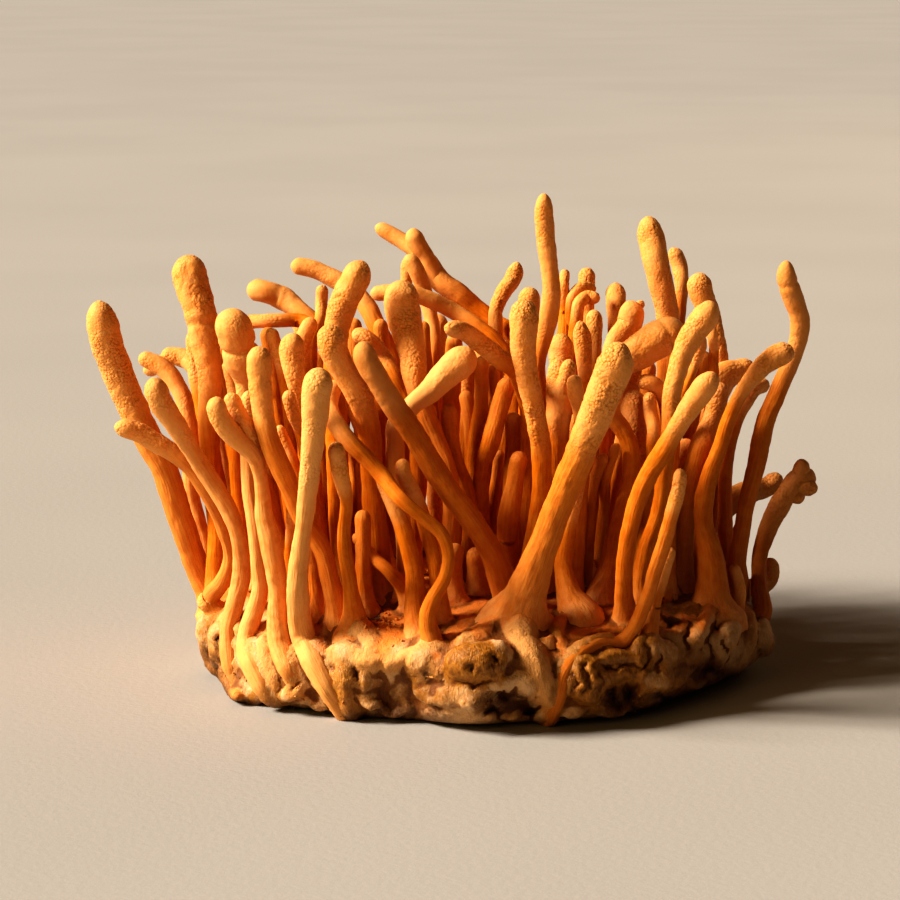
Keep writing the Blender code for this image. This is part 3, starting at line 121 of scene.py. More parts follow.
# Stromata of their own node: tip depth, foot depth, course
STROMATA = {
    "left_tall": (-8, -2, [(-46.9, 19.8, 4.0), (-46, 15.5, 4.2), (-43.9, 9.5, 4.1), (-41.3, 3.5, 3.9),
        (-38.1, -2.5, 3.6), (-35.6, -10, 3.4), (-32.8, -17.5, 3.4)]),
    "left_club": (3, -3, [(-35.2, 26, 4.6), (-34.8, 23, 4.6), (-33.6, 19, 4.3), (-33, 15, 3.9),
        (-32.3, 11, 3.3), (-32.3, 4, 3.0), (-32, -5, 2.4), (-31.3, -11, 2.4), (-31.4, -17, 2.8)]),
    "left_low": (-17, -10, [(-44.7, 3.2, 2.6), (-42.5, 2.7, 2.6), (-38.5, 0.6, 2.6), (-35, -2, 2.1),
        (-32.4, -5.8, 2.0), (-30.3, -10.3, 1.9), (-29.3, -14.5, 1.9), (-30.5, -17.8, 2.2),
        (-32, -19.8, 2.6)]),
    "left_bent": (-24, -16, [(-39.6, 9.6, 3.2), (-39, 7.3, 3.3), (-37, 4, 2.9), (-34.8, 0.4, 2.5),
        (-32.4, -3.3, 2.4), (-30, -7, 2.4), (-28.4, -11, 2.2), (-27.8, -15, 2.3), (-28, -20, 3.2)]),
    "left_slim": (10, 6, [(-41.5, 12.5, 2.2), (-38.3, 11, 2.5), (-35.8, 7.5, 2.4), (-34.6, 3, 2.3),
        (-34.6, -2, 2.2), (-34.3, -7, 2.2), (-32.9, -12, 2.2), (-31.8, -17, 2.4)]),
    "left_short": (17, 12, [(-38.5, 12.6, 2.4), (-35.5, 12.3, 2.6), (-33, 9.5, 2.4), (-31.5, 5, 2.2)]),
    "left_bulb": (-11, -8, [(-30.2, 18.6, 5.0), (-29, 16.5, 5.0), (-28, 13, 4.0), (-27.3, 9.5, 3.0),
        (-27, 4, 2.6), (-26.8, 0, 2.4)]),
    "fore_tall": (-30, -27, [(-25.3, 13.6, 3.2), (-25.3, 11, 3.3), (-24.9, 6, 3.0), (-24, 1.5, 2.7),
        (-22.4, -2.5, 2.9), (-20.9, -6, 2.6), (-19.5, -9.5, 2.5), (-17, -13, 2.5), (-15.6, -18, 2.6)]),
    "fore_forked": (-32, SEEN, [(-31.1, 7, 2.6), (-30.6, 4.6, 2.8), (-28.3, 1.5, 2.7), (-25.9, -0.8, 2.4),
        (-24.9, -4.5, 1.9), (-24.6, -8.5, 2.4), (-23.6, -13, 3.0), (-22.8, -18, 2.6), (-22.6, -23, 2.8),
        (-23, -27, 3.2)]),
    "fore_pale": (-40, SEEN, [(-17.3, 10.9, 3.8), (-17.7, 8, 3.9), (-18, 4, 3.5), (-18.4, -1, 2.9),
        (-18.9, -6, 2.6), (-19.5, -11, 2.3), (-20.2, -16, 2.8), (-20.1, -20, 3.0), (-19.2, -24, 3.2),
        (-17.8, -28, 3.2)]),
    "fore_thin": (-23, SEEN, [(-26.9, 7.9, 2.0), (-26.8, 5, 2.2), (-27, 0, 2.0), (-26.8, -5, 2.0),
        (-26.1, -10, 2.0), (-25.6, -15, 2.0), (-25.3, -18.5, 2.2), (-26.4, -22.5, 2.0), (-26.4, -27, 2.4)]),
    "fore_second": (-35, SEEN, [(-16, 1.5, 2.3), (-15.3, -2.5, 2.3), (-14.5, -6.5, 1.8), (-14.8, -10, 1.8),
        (-14.7, -13, 2.0), (-14.1, -17, 2.0), (-13.5, -23.5, 3.2)]),
    "left_inner": (-20, -18, [(-20.9, 15.6, 3.0), (-21.2, 13, 3.2), (-20.8, 10, 2.7), (-20.2, 7, 2.3),
        (-19.5, 4, 2.2), (-19, -2, 2.2)]),
    "back_arching": (22, 15, [(-21.2, 24.7, 2.3), (-19, 24.3, 2.4), (-16.5, 23.4, 2.5), (-14.5, 22.3, 2.6),
        (-11.3, 19.5, 2.6), (-9.5, 16, 2.6), (-8, 13, 2.6), (-6.9, 10, 2.6)]),
    "back_thumb": (16, 12, [(-26.8, 21.5, 3.0), (-25, 21.2, 3.0), (-22.5, 20.3, 3.2), (-20, 18.5, 2.6),
        (-18.2, 17, 2.5)]),
    "back_long": (30, 22, [(-10.6, 29.9, 2.2), (-8, 28.5, 2.2), (-5.5, 26.8, 2.3), (-3.3, 25, 2.4),
        (-2, 22.5, 3.0), (0.5, 20.7, 3.0), (3, 18.6, 2.8), (5.5, 16.7, 2.7), (7.5, 15.5, 2.6)]),
    "back_slim": (18, 16, [(-5.8, 26, 2.2), (-4.5, 24, 2.3), (-3.5, 21.5, 2.2), (-2.6, 18, 2.0),
        (-2, 14, 1.8), (-2.2, 11, 1.8)]),
    "back_lying": (12, 10, [(-10.6, 20.8, 2.0), (-8.5, 21, 2.1), (-5.5, 21, 2.2), (-2.5, 20, 2.3),
        (0.5, 18.5, 2.2), (3, 16.9, 2.2), (5.5, 15, 2.2)]),
    "back_upright": (27, 22, [(9.9, 25.1, 2.3), (9.4, 23.2, 2.4), (8, 21, 2.2), (7, 18.5, 2.0),
        (7, 16.3, 2.0)]),
    "mid_left_club": (-12, -14, [(-11.5, 25.2, 3.8), (-12.5, 23, 3.9), (-14, 20, 3.8), (-14.9, 17, 3.4),
        (-15.3, 13, 3.2), (-15.3, 8, 3.0)]),
    "mid_leaning": (-26, -20, [(-16, 16.6, 3.6), (-15.5, 14.3, 3.8), (-14.5, 11, 3.5), (-13.2, 8, 3.4),
        (-12, 5, 3.2), (-11, 2, 3.1), (-10.2, -2, 3.0), (-9.8, -8, 3.0)]),
    "winding": (-22, SEEN, [(-15, 9.5, 2.6), (-15, 6, 2.6), (-13.3, 2.6, 2.4), (-11, -0.5, 2.2),
        (-8.8, -3.7, 2.2), (-6, -6.8, 1.9, -32), (-3.5, -8.8, 1.8), (-1.3, -10.8, 1.8), (-0.5, -13.5, 1.7),
        (-1, -16.5, 1.8), (-2.4, -19, 2.0), (-3.2, -21.5, 2.3), (-2.8, -24.5, 2.4), (-2, -26.8, 2.8)]),
    "winding_twin": (-28, -32, [(-9.3, -3, 2.2), (-7.5, -7.5, 2.3), (-5.8, -12, 2.4), (-4.6, -17, 2.5),
        (-4.4, -22, 2.6), (-4, -26, 2.8)]),
    "mid_club": (-8, -14, [(-6.3, 22.7, 4.6), (-6.4, 19.5, 4.7), (-5.7, 16, 4.3), (-5, 13, 3.7),
        (-4.7, 10, 3.3), (-3.4, 5.5, 2.6), (-2, 2, 2.4), (-0.5, -2, 2.4)]),
    "diagonal_dark": (-28, SEEN, [(-11.6, 14.3, 3.1), (-11.2, 12, 3.2), (-9.3, 8.8, 3.1), (-6.8, 5, 3.2),
        (-4.2, 1.3, 3.1), (-1.8, -2.8, 3.1), (0.8, -6.6, 3.0), (3.4, -10, 3.1), (5.6, -13.5, 3.2),
        (7.3, -17.5, 3.6), (8.5, -21, 4.0)]),
    "crossing_pale": (-17, -21, [(2.9, 13.3, 4.0), (1.6, 11.8, 4.3), (-0.8, 9.7, 3.8), (-2.8, 7.6, 3.2),
        (-5, 5.8, 2.6), (-7.2, 3.2, 2.6), (-7.4, 0, 2.5), (-7.2, -4, 2.4), (-6.6, -9, 2.3), (-6, -15, 2.3)]),
    "mid_hooked": (-26, -13, [(-0.8, 16.2, 2.2), (1, 15.9, 2.3), (4, 14, 2.5), (6.5, 12, 2.6),
        (8.2, 10.8, 2.6), (9.5, 8, 2.5)]),
    "mid_right_club": (-24, -18, [(9.5, 20.1, 3.8), (9.6, 17.5, 3.9), (9.5, 14, 3.5), (9.9, 10.5, 3.0),
        (10.7, 7, 2.8), (11.3, 3.5, 2.7), (11.9, -0.5, 2.7), (11.9, -4, 2.5), (11.5, -8, 2.5),
        (10.8, -12, 2.6), (9.8, -20, 2.8)]),
    "tallest": (-10, -6, [(12.5, 34.2, 2.4), (12.5, 32, 2.5), (12.8, 28, 2.5), (13.2, 24.5, 2.3),
        (13.5, 21.5, 2.4), (13.2, 18, 2.6), (12.6, 15, 2.0), (11.9, 12, 1.7), (12.4, 6, 1.8)]),
    "cluster_bulb": (14, 12, [(24.2, 19.9, 3.2), (24, 17, 3.4), (22, 14.5, 2.6), (21, 10, 2.4)]),
    "cluster_round": (26, 22, [(22, 22, 2.8), (22, 20, 2.8), (21.8, 17, 2.0)]),
    "mid_twin_tip": (-16, -16, [(14.4, 12.1, 2.2), (14.5, 10.4, 3.0), (14.6, 9, 3.6), (14.6, 5.5, 3.6),
        (14.3, 2, 3.0), (14.2, -1, 2.8)]),
    "great_front": (-40, SEEN, [(22.6, 14.6, 4.8), (22, 12, 4.9), (20.6, 8.5, 4.7), (19.1, 4.5, 4.4),
        (17.3, 0, 4.2), (15.4, -4.5, 3.9), (13.8, -8.5, 3.8), (12.3, -12.5, 3.8), (10.8, -16.5, 4.2),
        (9.7, -19.5, 4.6), (8.8, -22.5, 6.0)]),
    "right_back_club": (14, 11, [(26.4, 31.2, 3.5), (26.8, 28.5, 3.6), (27.5, 25, 3.5), (28.4, 21, 3.3),
        (29, 18, 3.2), (29, 12, 3.0)]),
    "right_behind": (8, 5, [(33.1, 23.7, 3.2), (33.3, 21.5, 3.3), (34.4, 18.5, 2.9), (35.3, 15.5, 2.4),
        (35.8, 12.5, 2.4), (35.8, 9, 2.4)]),
    "fat_crossing": (-6, SEEN, [(31.2, 16.2, 4.8), (28.5, 15.2, 5.0), (25.5, 13.3, 4.6), (23, 11.5, 4.0),
        (21.5, 8, 3.2), (21.5, 4.8, 2.6), (23, 2.8, 2.3), (24, 0, 2.3), (24, -4, 2.3), (23, -8, 2.3),
        (21.9, -12, 2.4), (21, -16, 2.6), (20, -20, 3.0)]),
    "right_curved": (-18, SEEN, [(34.9, 19.8, 3.4), (34, 17.8, 3.6), (32.3, 15.5, 3.4), (30.9, 12.5, 2.9),
        (30, 9.5, 2.6), (29.3, 6, 2.4), (29.2, 3.5, 2.2), (28.8, 0, 2.2), (28.2, -4.5, 2.0),
        (27.6, -8.5, 2.0), (26, -13, 2.1), (25.2, -18, 2.3), (25.3, -22, 2.6)]),
    "right_long": (-34, SEEN, [(35.5, 10.3, 3.2), (34.4, 8.8, 3.3), (32.4, 6.2, 3.0), (30.4, 3, 2.6),
        (28.6, 0, 2.6), (26.6, -3.2, 2.6), (25, -7, 2.4), (24, -11, 2.3), (23.4, -15, 2.3), (23.3, -19, 2.4),
        (23.6, -23, 2.8)]),
    "right_small": (-38, SEEN, [(30.7, -2.5, 1.8), (30.5, -5, 1.9), (29.6, -8.5, 2.0), (28.5, -12.5, 2.0),
        (27.2, -16.5, 2.0), (26, -20.5, 1.9), (24.6, -23.8, 1.8), (22.5, -25.8, 1.8)]),
    "right_dark": (-10, -10, [(36, 9, 2.4), (34.9, 5, 2.6), (33, 0, 3.0), (31.8, -4, 3.0)]),
    "right_column": (-15, -13, [(45.9, 13.2, 2.8), (44, 12.8, 3.0), (41.8, 11.3, 2.7), (40, 9.3, 2.1),
        (38.2, 6.5, 1.9), (37.1, 4, 2.0), (36.2, 1, 2.0), (34.9, -2.5, 2.2), (34, -6, 2.6), (33.8, -10, 2.6),
        (34.5, -13, 3.4), (35, -20, 4.4)]),
    "right_pointing": (0, -2, [(40.4, 11.2, 3.0), (38.5, 10.5, 3.2), (36.8, 10, 3.8), (35.5, 7, 3.0)]),
    "right_tall": (-7, -4, [(45.4, 24.5, 2.6), (45.6, 22, 2.7), (46.4, 19.5, 2.7), (47.2, 17, 2.6),
        (47.3, 14.5, 2.5), (46.7, 12, 2.4), (45.5, 9, 2.3), (44.2, 6, 2.4), (43, 3, 2.5), (42.3, 0, 2.6),
        (41.6, -4, 2.4), (40.7, -8, 2.2), (40.2, -12, 2.2), (39.7, -16, 2.4), (39.5, -20, 3.0)]),
    "right_knobby": (-2, -7, [(48.6, -4, 2.4), (47, -3.6, 3.2), (45, -5.5, 2.8), (43.5, -8, 2.8),
        (42, -11, 2.4), (41, -14, 2.0), (40.9, -18, 2.2), (41, -22, 2.8)]),
    "right_thick": (8, 5, [(44.3, -3.5, 2.4), (42.5, -5, 2.6), (39.5, -6, 3.2), (36.5, -7.7, 3.8),
        (34.5, -10, 3.6)]),
    "right_fore": (-29, SEEN, [(29.5, -13, 1.7), (28.3, -17, 1.8), (27, -21, 2.0), (26.5, -25, 2.4),
        (27.5, -28, 2.6)]),
}

# Forks: a short arm that leaves a stroma of the table above
FORKS = {
    "fore_forked": [(-29.5, 7.6, 2.2), (-28.5, 5.3, 2.4), (-26.8, 2, 2.4), (-25.9, -0.8, 2.0)],
    "back_long": [(-5.2, 29.5, 2.4), (-4.5, 27.8, 2.6), (-3, 25.5, 2.3), (-1.5, 22, 2.4)],
    "mid_twin_tip": [(16, 12.1, 2.0), (15.7, 10.5, 2.2), (15.0, 8, 2.2), (14.6, 5.5, 2.0)],
    "right_knobby": [(47, -1.2, 2.0), (46.8, -2.6, 2.2), (46, -4.5, 2.0)],
}

# Small stromata that are one with the cake: tip depth, foot depth, course
SMALL_STROMATA = {
    "left_bulge": (8, 5, [(-34.7, 15.5, 2.2), (-34.4, 11, 2.4), (-33.3, 5, 2.4), (-32.3, 0, 2.2),
        (-31.2, -6, 2.2)]),
    "left_stub": (-3, -4, [(-29.7, 12, 1.8), (-28.8, 7.8, 1.8), (-28.7, 0, 1.8), (-28.4, -5, 1.8)]),
    "fore_wisp": (-25, -21, [(-21.7, 8, 1.8), (-21, 5.5, 1.9), (-19.8, 2.5, 1.8), (-19, -2, 1.8)]),
    "pale_shard": (-18, -16, [(-22.6, 3.2, 1.4), (-20, -3.4, 1.5), (-19.4, -8, 1.5)]),
    "pale_stalk": (-22, -21, [(-21, -7.8, 1.5), (-21.4, -13, 1.5), (-21.4, -20, 1.7)]),
    "mid_peg": (-8, -8, [(-18.2, 17.6, 2.2), (-19.3, 15.5, 2.2), (-19.5, 12, 2.2), (-19.5, 9, 2.2)]),
    "mid_needle": (0, -1, [(-17, 22, 1.6), (-17.1, 20, 1.6), (-17.4, 17.3, 1.4), (-18.3, 14.8, 1.5),
        (-18.5, 12, 1.6)]),
    "back_small": (-4, -6, [(-13, 15.7, 2.2), (-11, 14.8, 2.2), (-9, 12.5, 2.2), (-7.3, 9.5, 2.2),
        (-6, 7, 2.2)]),
    "back_bar": (9, 6, [(-27.5, 17, 1.9), (-23, 17.3, 1.9), (-20, 17.2, 1.9), (-18.3, 16.5, 1.9)]),
    "back_peg": (3, 2, [(-24, 16.2, 1.8), (-22.8, 12.5, 1.8)]),
    "back_nub": (25, 24, [(-6.4, 25.5, 1.5), (-6.4, 23.8, 1.6), (-6.4, 20, 1.6)]),
    "mid_far": (5, 4, [(10.6, 21.7, 3.0), (10.5, 17, 2.6)]),
    "mid_inner": (-27, -29, [(-6.4, -1.7, 2.1), (-6.2, -3.5, 2.1), (-5, -6, 2.0), (-3.8, -9, 2.0),
        (-2.8, -12.5, 2.0), (-2, -16, 2.0), (-1.5, -20, 2.2)]),
    "cluster_needle": (22, 20, [(15.4, 24.1, 1.4), (15.3, 22, 1.4), (15.4, 19, 1.6), (15.3, 16, 2.0)]),
    "cluster_stub": (-2, -3, [(14.8, 15.5, 3.2), (14.8, 13.5, 3.3), (14.8, 9, 2.8)]),
    "cluster_ball": (26, 24, [(17.2, 24.4, 2.3), (17.2, 22.5, 2.3), (17.4, 18, 1.8)]),
    "cluster_curl": (22, 20, [(19.3, 21.2, 1.6), (17.8, 21.8, 1.6), (16.4, 20.6, 1.6), (16, 18, 1.6)]),
    "cluster_bent": (18, 17, [(21, 20, 1.8), (19.5, 20.4, 1.8), (18.3, 19.5, 1.8), (18, 17.5, 1.8)]),
    "cluster_edge": (20, 18, [(24, 20, 1.2), (21.3, 17.2, 1.3)]),
    "cluster_low": (8, 7, [(19.2, 18.7, 2.2), (19.2, 16, 2.2)]),
    "mid_slim": (-5, -5, [(17.3, 17.2, 2.2), (17.6, 15, 2.4), (17.8, 12.5, 2.3), (18, 10, 1.8)]),
    "mid_short": (-20, -18, [(16.5, 10.2, 2.1), (16.6, 8.5, 2.2), (17.2, 6, 2.1)]),
    "inner_a": (-8, -8, [(4.3, 12.5, 1.9), (4.2, 9, 1.9), (4.1, 6, 1.9), (3.7, 3.5, 1.9), (3.4, 1, 1.9)]),
    "inner_b": (-6, -6, [(5.8, 11.5, 1.6), (5.8, 8.5, 1.6), (4.9, 4, 1.6)]),
    "inner_c": (-12, -12, [(7.8, 9.5, 2.4), (6.5, 5, 2.5), (5.6, 1.5, 2.5), (4.5, -2, 2.2), (4, -6, 2.2)]),
    "inner_d": (-8, -8, [(8.5, 5, 2.2), (8.4, 0, 2.2), (8.2, -4, 2.2)]),
    "inner_e": (-2, -2, [(6.6, 0, 1.4), (6.1, -4, 1.4), (5.6, -8, 1.5)]),
    "inner_f": (-16, -15, [(10.3, 0, 2.4), (9.6, -4, 2.4), (8.9, -8, 2.9), (8.6, -12, 3.0)]),
    "inner_g": (-12, -12, [(-0.2, 6, 2.2), (0, 2, 2.2), (0.8, -2, 2.2), (2, -5, 2.2)]),
    "inner_h": (-6, -6, [(2, 7.9, 2.0), (2.7, 4, 2.0), (2.9, 0, 2.0)]),
    "inner_i": (-18, -17, [(3.3, -13, 2.4), (3.6, -17, 2.4), (3.8, -21, 2.6)]),
    "inner_j": (-22, -21, [(0.8, -12.5, 2.2), (0.5, -17, 2.2), (0.8, -21, 2.4)]),
    "inner_k": (-20, -21, [(-13, -10.5, 1.6), (-10.5, -13.5, 1.6), (-8, -15.8, 1.8), (-6.3, -18, 2.0),
        (-5.4, -21, 2.2)]),
    "inner_l": (-24, -24, [(-17.2, -8, 2.6), (-17, -15, 2.9), (-16.8, -22, 3.4)]),
    "inner_m": (-22, -22, [(-12.3, -8, 2.2), (-12.2, -15, 2.2), (-12, -22, 2.8)]),
    "inner_n": (-14, -14, [(-12.2, -1, 1.4), (-12, -5, 1.4), (-11.6, -9, 1.5)]),
    "inner_o": (-12, -12, [(-13.5, 1, 1.5), (-12.9, -2, 1.5), (-12.5, -7, 1.6)]),
    "right_needle": (20, 18, [(29.4, 27, 2.1), (30.3, 24.5, 2.2), (30.6, 22, 1.9), (30.4, 19.5, 1.7),
        (30, 15, 1.8)]),
    "right_knob_a": (-12, -11, [(33.5, 15.7, 1.3), (33.6, 14.3, 1.7), (32.8, 12, 1.4), (31.9, 9.5, 1.5),
        (31.3, 7.8, 1.6)]),
    "right_knob_b": (-8, -8, [(34.9, 16.4, 1.2), (35, 15, 1.3), (35.2, 13, 1.3), (35.1, 10.8, 1.5)]),
    "right_bud": (3, 1, [(42.4, 8.7, 2.0), (40.8, 8.4, 2.2), (39.5, 6.5, 2.0)]),
    "right_twig": (10, 8, [(39, -9, 1.2), (38.2, -11, 1.3), (37.3, -14, 1.5)]),
    "right_flap": (-9, -9, [(38, -15, 1.4), (38.8, -18.3, 1.8)]),
    "right_rear": (8, 7, [(42.7, -14.4, 2.4), (42.7, -16.5, 2.6), (42, -19.5, 2.6)]),
    "fore_right": (-21, -24, [(17.3, -3, 2.0), (16.5, -7, 2.1), (15.7, -11, 2.2), (15.1, -15, 2.4),
        (15.8, -19, 3.0), (17.0, -22, 4.0)]),
    "round_bulge": (-11, -11, [(17.3, -13.3, 3.8), (17.3, -17, 4.0), (17.3, -20, 4.0)]),
    "right_inner": (-12, -12, [(26.6, 7.4, 1.8), (26.7, 5, 1.9), (27.2, 2.5, 1.9), (27, 0, 1.9)]),
    "right_arch": (-10, -8, [(25.2, 8.9, 2.1), (27, 8.9, 2.1), (28.8, 7, 2.1), (29.5, 3, 2.0)]),
    "right_fat": (-4, -4, [(24.5, 8, 3.4), (24.5, 4, 3.5), (25, 0, 3.4)]),
    "leaf_a": (-14, -14, [(20.6, -0.5, 1.6), (19, -5, 1.6), (18.6, -10, 1.7)]),
    "leaf_b": (-12, -10, [(22.3, 1, 1.3), (21, -2.7, 1.4), (20.5, -8, 1.5)]),
}

# A stroma that no view was read for: its height and thickness at each place, as shares
UPRIGHT_SHAPE = [(1.0, 1.0), (0.93, 1.0), (0.75, 0.92), (0.5, 0.72), (0.25, 0.66), (0.0, 0.8)]
UPRIGHT_FOOT = CAKE_CROWN - 1.0
LEAN_POWER = 1.6  # it leans more and more towards the tip
BEND_TURN = 3.0  # radians of the sideways bend, from foot to tip

# The far side, which the view doesn't show: a row of stromata of the same habit
REAR_COUNT = 13
REAR_SPREAD = 56.0  # degrees either side of straight back
REAR_STRAY = 2.0  # degrees that one may be out of its even place
REAR_ROOT = (27.0, 32.0)  # how far from the middle they are rooted
REAR_LEAN = (5.0, 11.0)  # how much further out the tip is
REAR_HEIGHT = (33.0, 42.0)
REAR_DIAMETER = (2.3, 3.8)
REAR_BEND = (-2.5, 2.5)
REAR_STAGGER = 5.0  # every second one is this much further in
REAR_TALLER = 4.0  # and this much taller
REAR_SEED = 11

# The heart of the bunch, which shows only from above: short ones, one with the cake
HEART_TRIES = 100
HEART_REACH = 27.0
HEART_FRONT = -9.0  # none is nearer the viewer than this
HEART_ROOM = 3.7  # mm that the middle of one is from every other stalk's, at least
HEART_LEVELS = (15.0, 22.0, 29.0)  # heights at which that room is looked for
HEART_LEAN = (1.0, 6.0)
HEART_HEIGHT = (26.0, 39.0)
HEART_DIAMETER = (2.2, 3.1)
HEART_BEND = (-2.0, 2.0)
HEART_TURN = 0.7
HEART_SEED = 5
GOLDEN_ANGLE = math.pi * (3.0 - math.sqrt(5.0))

# What the finish adds to a stroma
HEAD_DIAMETERS = 3.3  # a head's length, in its own diameters
DOME_LENGTH = 1.15  # a tip's dome, in the tip's radii
DOME_STEPS = 12
FINE_STEP = 0.22  # mm between two rings of a head
PLAIN_STEP = 0.38  # mm between two rings of a stipe
SMALL_STEP = 0.48  # mm between two rings of a small one
FLARE = 0.75  # how much wider a foot is where it enters the cake
FLARE_HEIGHT = 1.7  # mm above the cake at which a third of that is left
PALE_HEIGHT = 1.9  # mm above the cake at which a third of a foot's paleness is left
RUN_ROOM = 4.2  # mm above its foot at which a stalk starts to turn into its root
RUN_LIFT = 0.3  # how far a root's middle is out from the skin, in its own radii
RUN_STRIDE = 8  # fine places between two of those that the turn is smoothed through
RUN_REACH = 25.5  # a stalk rooted this far from the middle runs on down the side
RUN_FRONT = 98.0  # but not within this many degrees of the front
RUN_TAPER = 4.0  # its taper's length, in its last radii
TAPER_LEAST = 0.02  # the end of that length that is left blunt
TAPER_POWER = 0.6  # how round the taper is
SIDE_SINK = 0.65  # how far a root round the sides is sunk, in its radii
FAN_HEIGHT = 2.2  # mm above the cake at which a foot's fan of roots starts
RUN_PALING = 7.0  # mm along it over which a stalk takes its root's paler colour
RUN_PALE_LEFT = 0.8  # how pale the roots on the left get
RUN_PALE_RIGHT = 0.15  # and those on the right
PATTERN_STEP = 37.0  # mm from one stalk's place in the patterns to the next one's
PATTERN_PLACES = 31
ROOT_PROUD = 0.8  # mm that a wide root stands out of the skin at least
CROWN_REACH = 37.0  # mm from the middle to which the felt between the stalks is orange
RUN_SUNK = 0.55  # how far its fillet's middle is in from the root's, in its radii
RUN_FILLET = 1.25  # the fillet's width against the root's
SIDE_RUN_HEIGHTS = (10.6, 8.2, 5.6, 3.0, 0.9)
SIDE_RUN_COUNT = (3, 5)  # how many of these heights such a root passes
SIDE_RUN_WIDTH = (1.1, 0.13)  # its width against its stalk's, and by how much each height is less
SIDE_RUN_SWELL = (0.85, 1.15)
SIDE_DRIFT = 0.16  # radians that it may run round the cake
SIDE_STRAY = 0.04  # radians that it may stray at each height
RIPE_HEIGHT = 9.0  # mm above the floor at which roots start to turn amber
SIDE_WIDTH = 0.21  # mm of a head's girth to each side of its tube
MANY_SIDES = 84
FEW_SIDES = 24

# Feet that spread wider than FLARE and FLARE_HEIGHT say: by how much, and over which height in mm
WIDE_FEET = {
    "great_front": (0.95, 4.6), "fore_second": (0.8, 2.4), "winding": (0.6, 2.0), "right_fore": (0.6, 2.4),
}

# Folds round a stalk: how far from its tip, how wide and how deep, as a share of its radius
GROOVES = {
    "left_bulb": ((5.2, 0.35, 0.14), (7.4, 2.0, -0.34)), "left_club": ((9.4, 0.5, 0.08), (8.4, 0.7, -0.05)),
    "fat_crossing": ((3.0, 0.25, 0.06),), "right_tall": ((3.2, 0.3, 0.08),),
}

# Heads that pale into their stalk later: their length in their own diameters
LONG_HEADS = {
    "tallest": 8.0, "right_back_club": 5.0, "back_long": 7.0, "back_lying": 7.0, "back_slim": 6.0,
    "back_arching": 6.0, "right_tall": 6.0, "left_club": 4.6, "left_tall": 4.2, "mid_right_club": 5.0,
    "mid_hooked": 5.0, "right_curved": 4.6, "fore_pale": 4.6, "right_behind": 5.0, "back_upright": 5.0,
    "left_slim": 5.0, "left_short": 5.0,
}

# Tips that are more pointed: the dome's length in the tip's radii
POINTED = {
    "right_tall": 2.1, "tallest": 2.2, "right_back_club": 1.8, "left_tall": 1.7, "mid_slim": 2.4,
    "great_front": 1.6, "right_long": 1.4, "mid_hooked": 1.6, "right_curved": 1.5, "left_low": 1.6,
    "fore_thin": 1.6, "mid_left_club": 1.35, "diagonal_dark": 1.3, "back_upright": 1.6, "back_long": 1.6,
    "left_bent": 1.3, "right_small": 1.4, "mid_leaning": 1.35,
}

# Painted shade for heads deep in the bunch: how much of a head's paler colour and pebbles they keep, by how
# their names start
SHADED = {"inner_": 0.25, "far_": 0.3, "leaf_": 0.2, "heart_": 0.6}

# How pebbled a head is, where it isn't 0.8
ROUGH = {
    "diagonal_dark": 0.12, "crossing_pale": 0.3, "left_bulb": 0.5, "fore_pale": 0.7, "winding": 0.2,
    "mid_club": 1.0, "mid_hooked": 1.2, "great_front": 1.2, "mid_right_club": 1.1, "tallest": 0.4,
    "left_tall": 1.0, "fat_crossing": 0.5, "back_long": 0.2, "back_arching": 0.2, "back_thumb": 0.1,
    "back_slim": 0.2, "back_lying": 0.2, "right_tall": 0.3, "right_long": 0.5, "left_slim": 0.5,
}

# Stromata that only close the gaps between the others, seen far in: tip depth, foot depth, readings
FAR_STROMATA = {
    "far_a": (6, 4, [(-24.4, 16.4, 2.2), (-23.6, 12, 2.3), (-23.2, 6, 2.2), (-22.4, 0, 2.2),
        (-21, -8, 2.4)]),
    "far_b": (4, 3, [(-12.9, 17.6, 2.2), (-12.6, 13, 2.4), (-12.2, 7, 2.3), (-11.4, 0, 2.3),
        (-10.4, -8, 2.4)]),
    "far_c": (8, 6, [(-9.3, 17.5, 2.0), (-9, 12, 2.2), (-8.9, 5, 2.2), (-8.6, -3, 2.3), (-8, -10, 2.4)]),
    "far_d": (10, 8, [(0.6, 15.4, 2.3), (0.4, 11, 2.5), (0.2, 6, 2.5), (0, 0, 2.4)]),
    "far_e": (8, 8, [(-3.6, 17.2, 1.9), (-3.4, 12, 2.0), (-2.6, 6, 2.1), (-2, 0, 2.1)]),
    "far_f": (12, 10, [(33.9, 13.2, 2.2), (33.4, 9, 2.4), (32.6, 4, 2.4), (31.5, -3, 2.4), (30, -9, 2.4)]),
    "far_g": (6, 5, [(26.6, 11.8, 1.9), (26.2, 7, 2.0), (25.4, 1, 2.1)]),
    "far_h": (0, 0, [(-24.2, -1, 2.0), (-24, -5, 2.1), (-23.2, -11, 2.3)]),
    "far_i": (6, 5, [(-30.6, 13.6, 1.9), (-30.3, 9, 2.0), (-29.4, 3, 2.1), (-28, -4, 2.2)]),
    "far_j": (4, 3, [(-17.5, 13.2, 1.9), (-17.1, 8, 2.1), (-16.8, 0, 2.2), (-16.4, -7, 2.3)]),
}

# Browner than the others, partly their own tone and partly painted shade on stalks that stand in shade: 0 is
# orange, 1 is brown
BROWN_AND_SHADE = {
    "diagonal_dark": 0.35, "right_dark": 0.4, "right_knobby": 0.45, "right_thick": 0.4, "winding": 0.15,
    "fore_second": 0.1, "right_small": 0.2, "right_fore": 0.3, "right_column": 0.15, "left_bent": 0.12,
    "right_tall": 0.28, "great_front": 0.1, "right_long": 0.15,
}
# Paler and yellower than the others, partly their own tone and partly painted light on the stalks that the
# light from the left falls on most
PALE_AND_LIT = {
    "fore_pale": 0.5, "crossing_pale": 0.5, "left_tall": 0.25, "left_bulb": 0.3, "great_front": 0.1,
    "fore_thin": 0.5, "mid_club": 0.15, "left_inner": 0.2, "fore_tall": 0.15, "left_bent": 0.35,
    "fore_forked": 0.25, "left_low": 0.3,
}
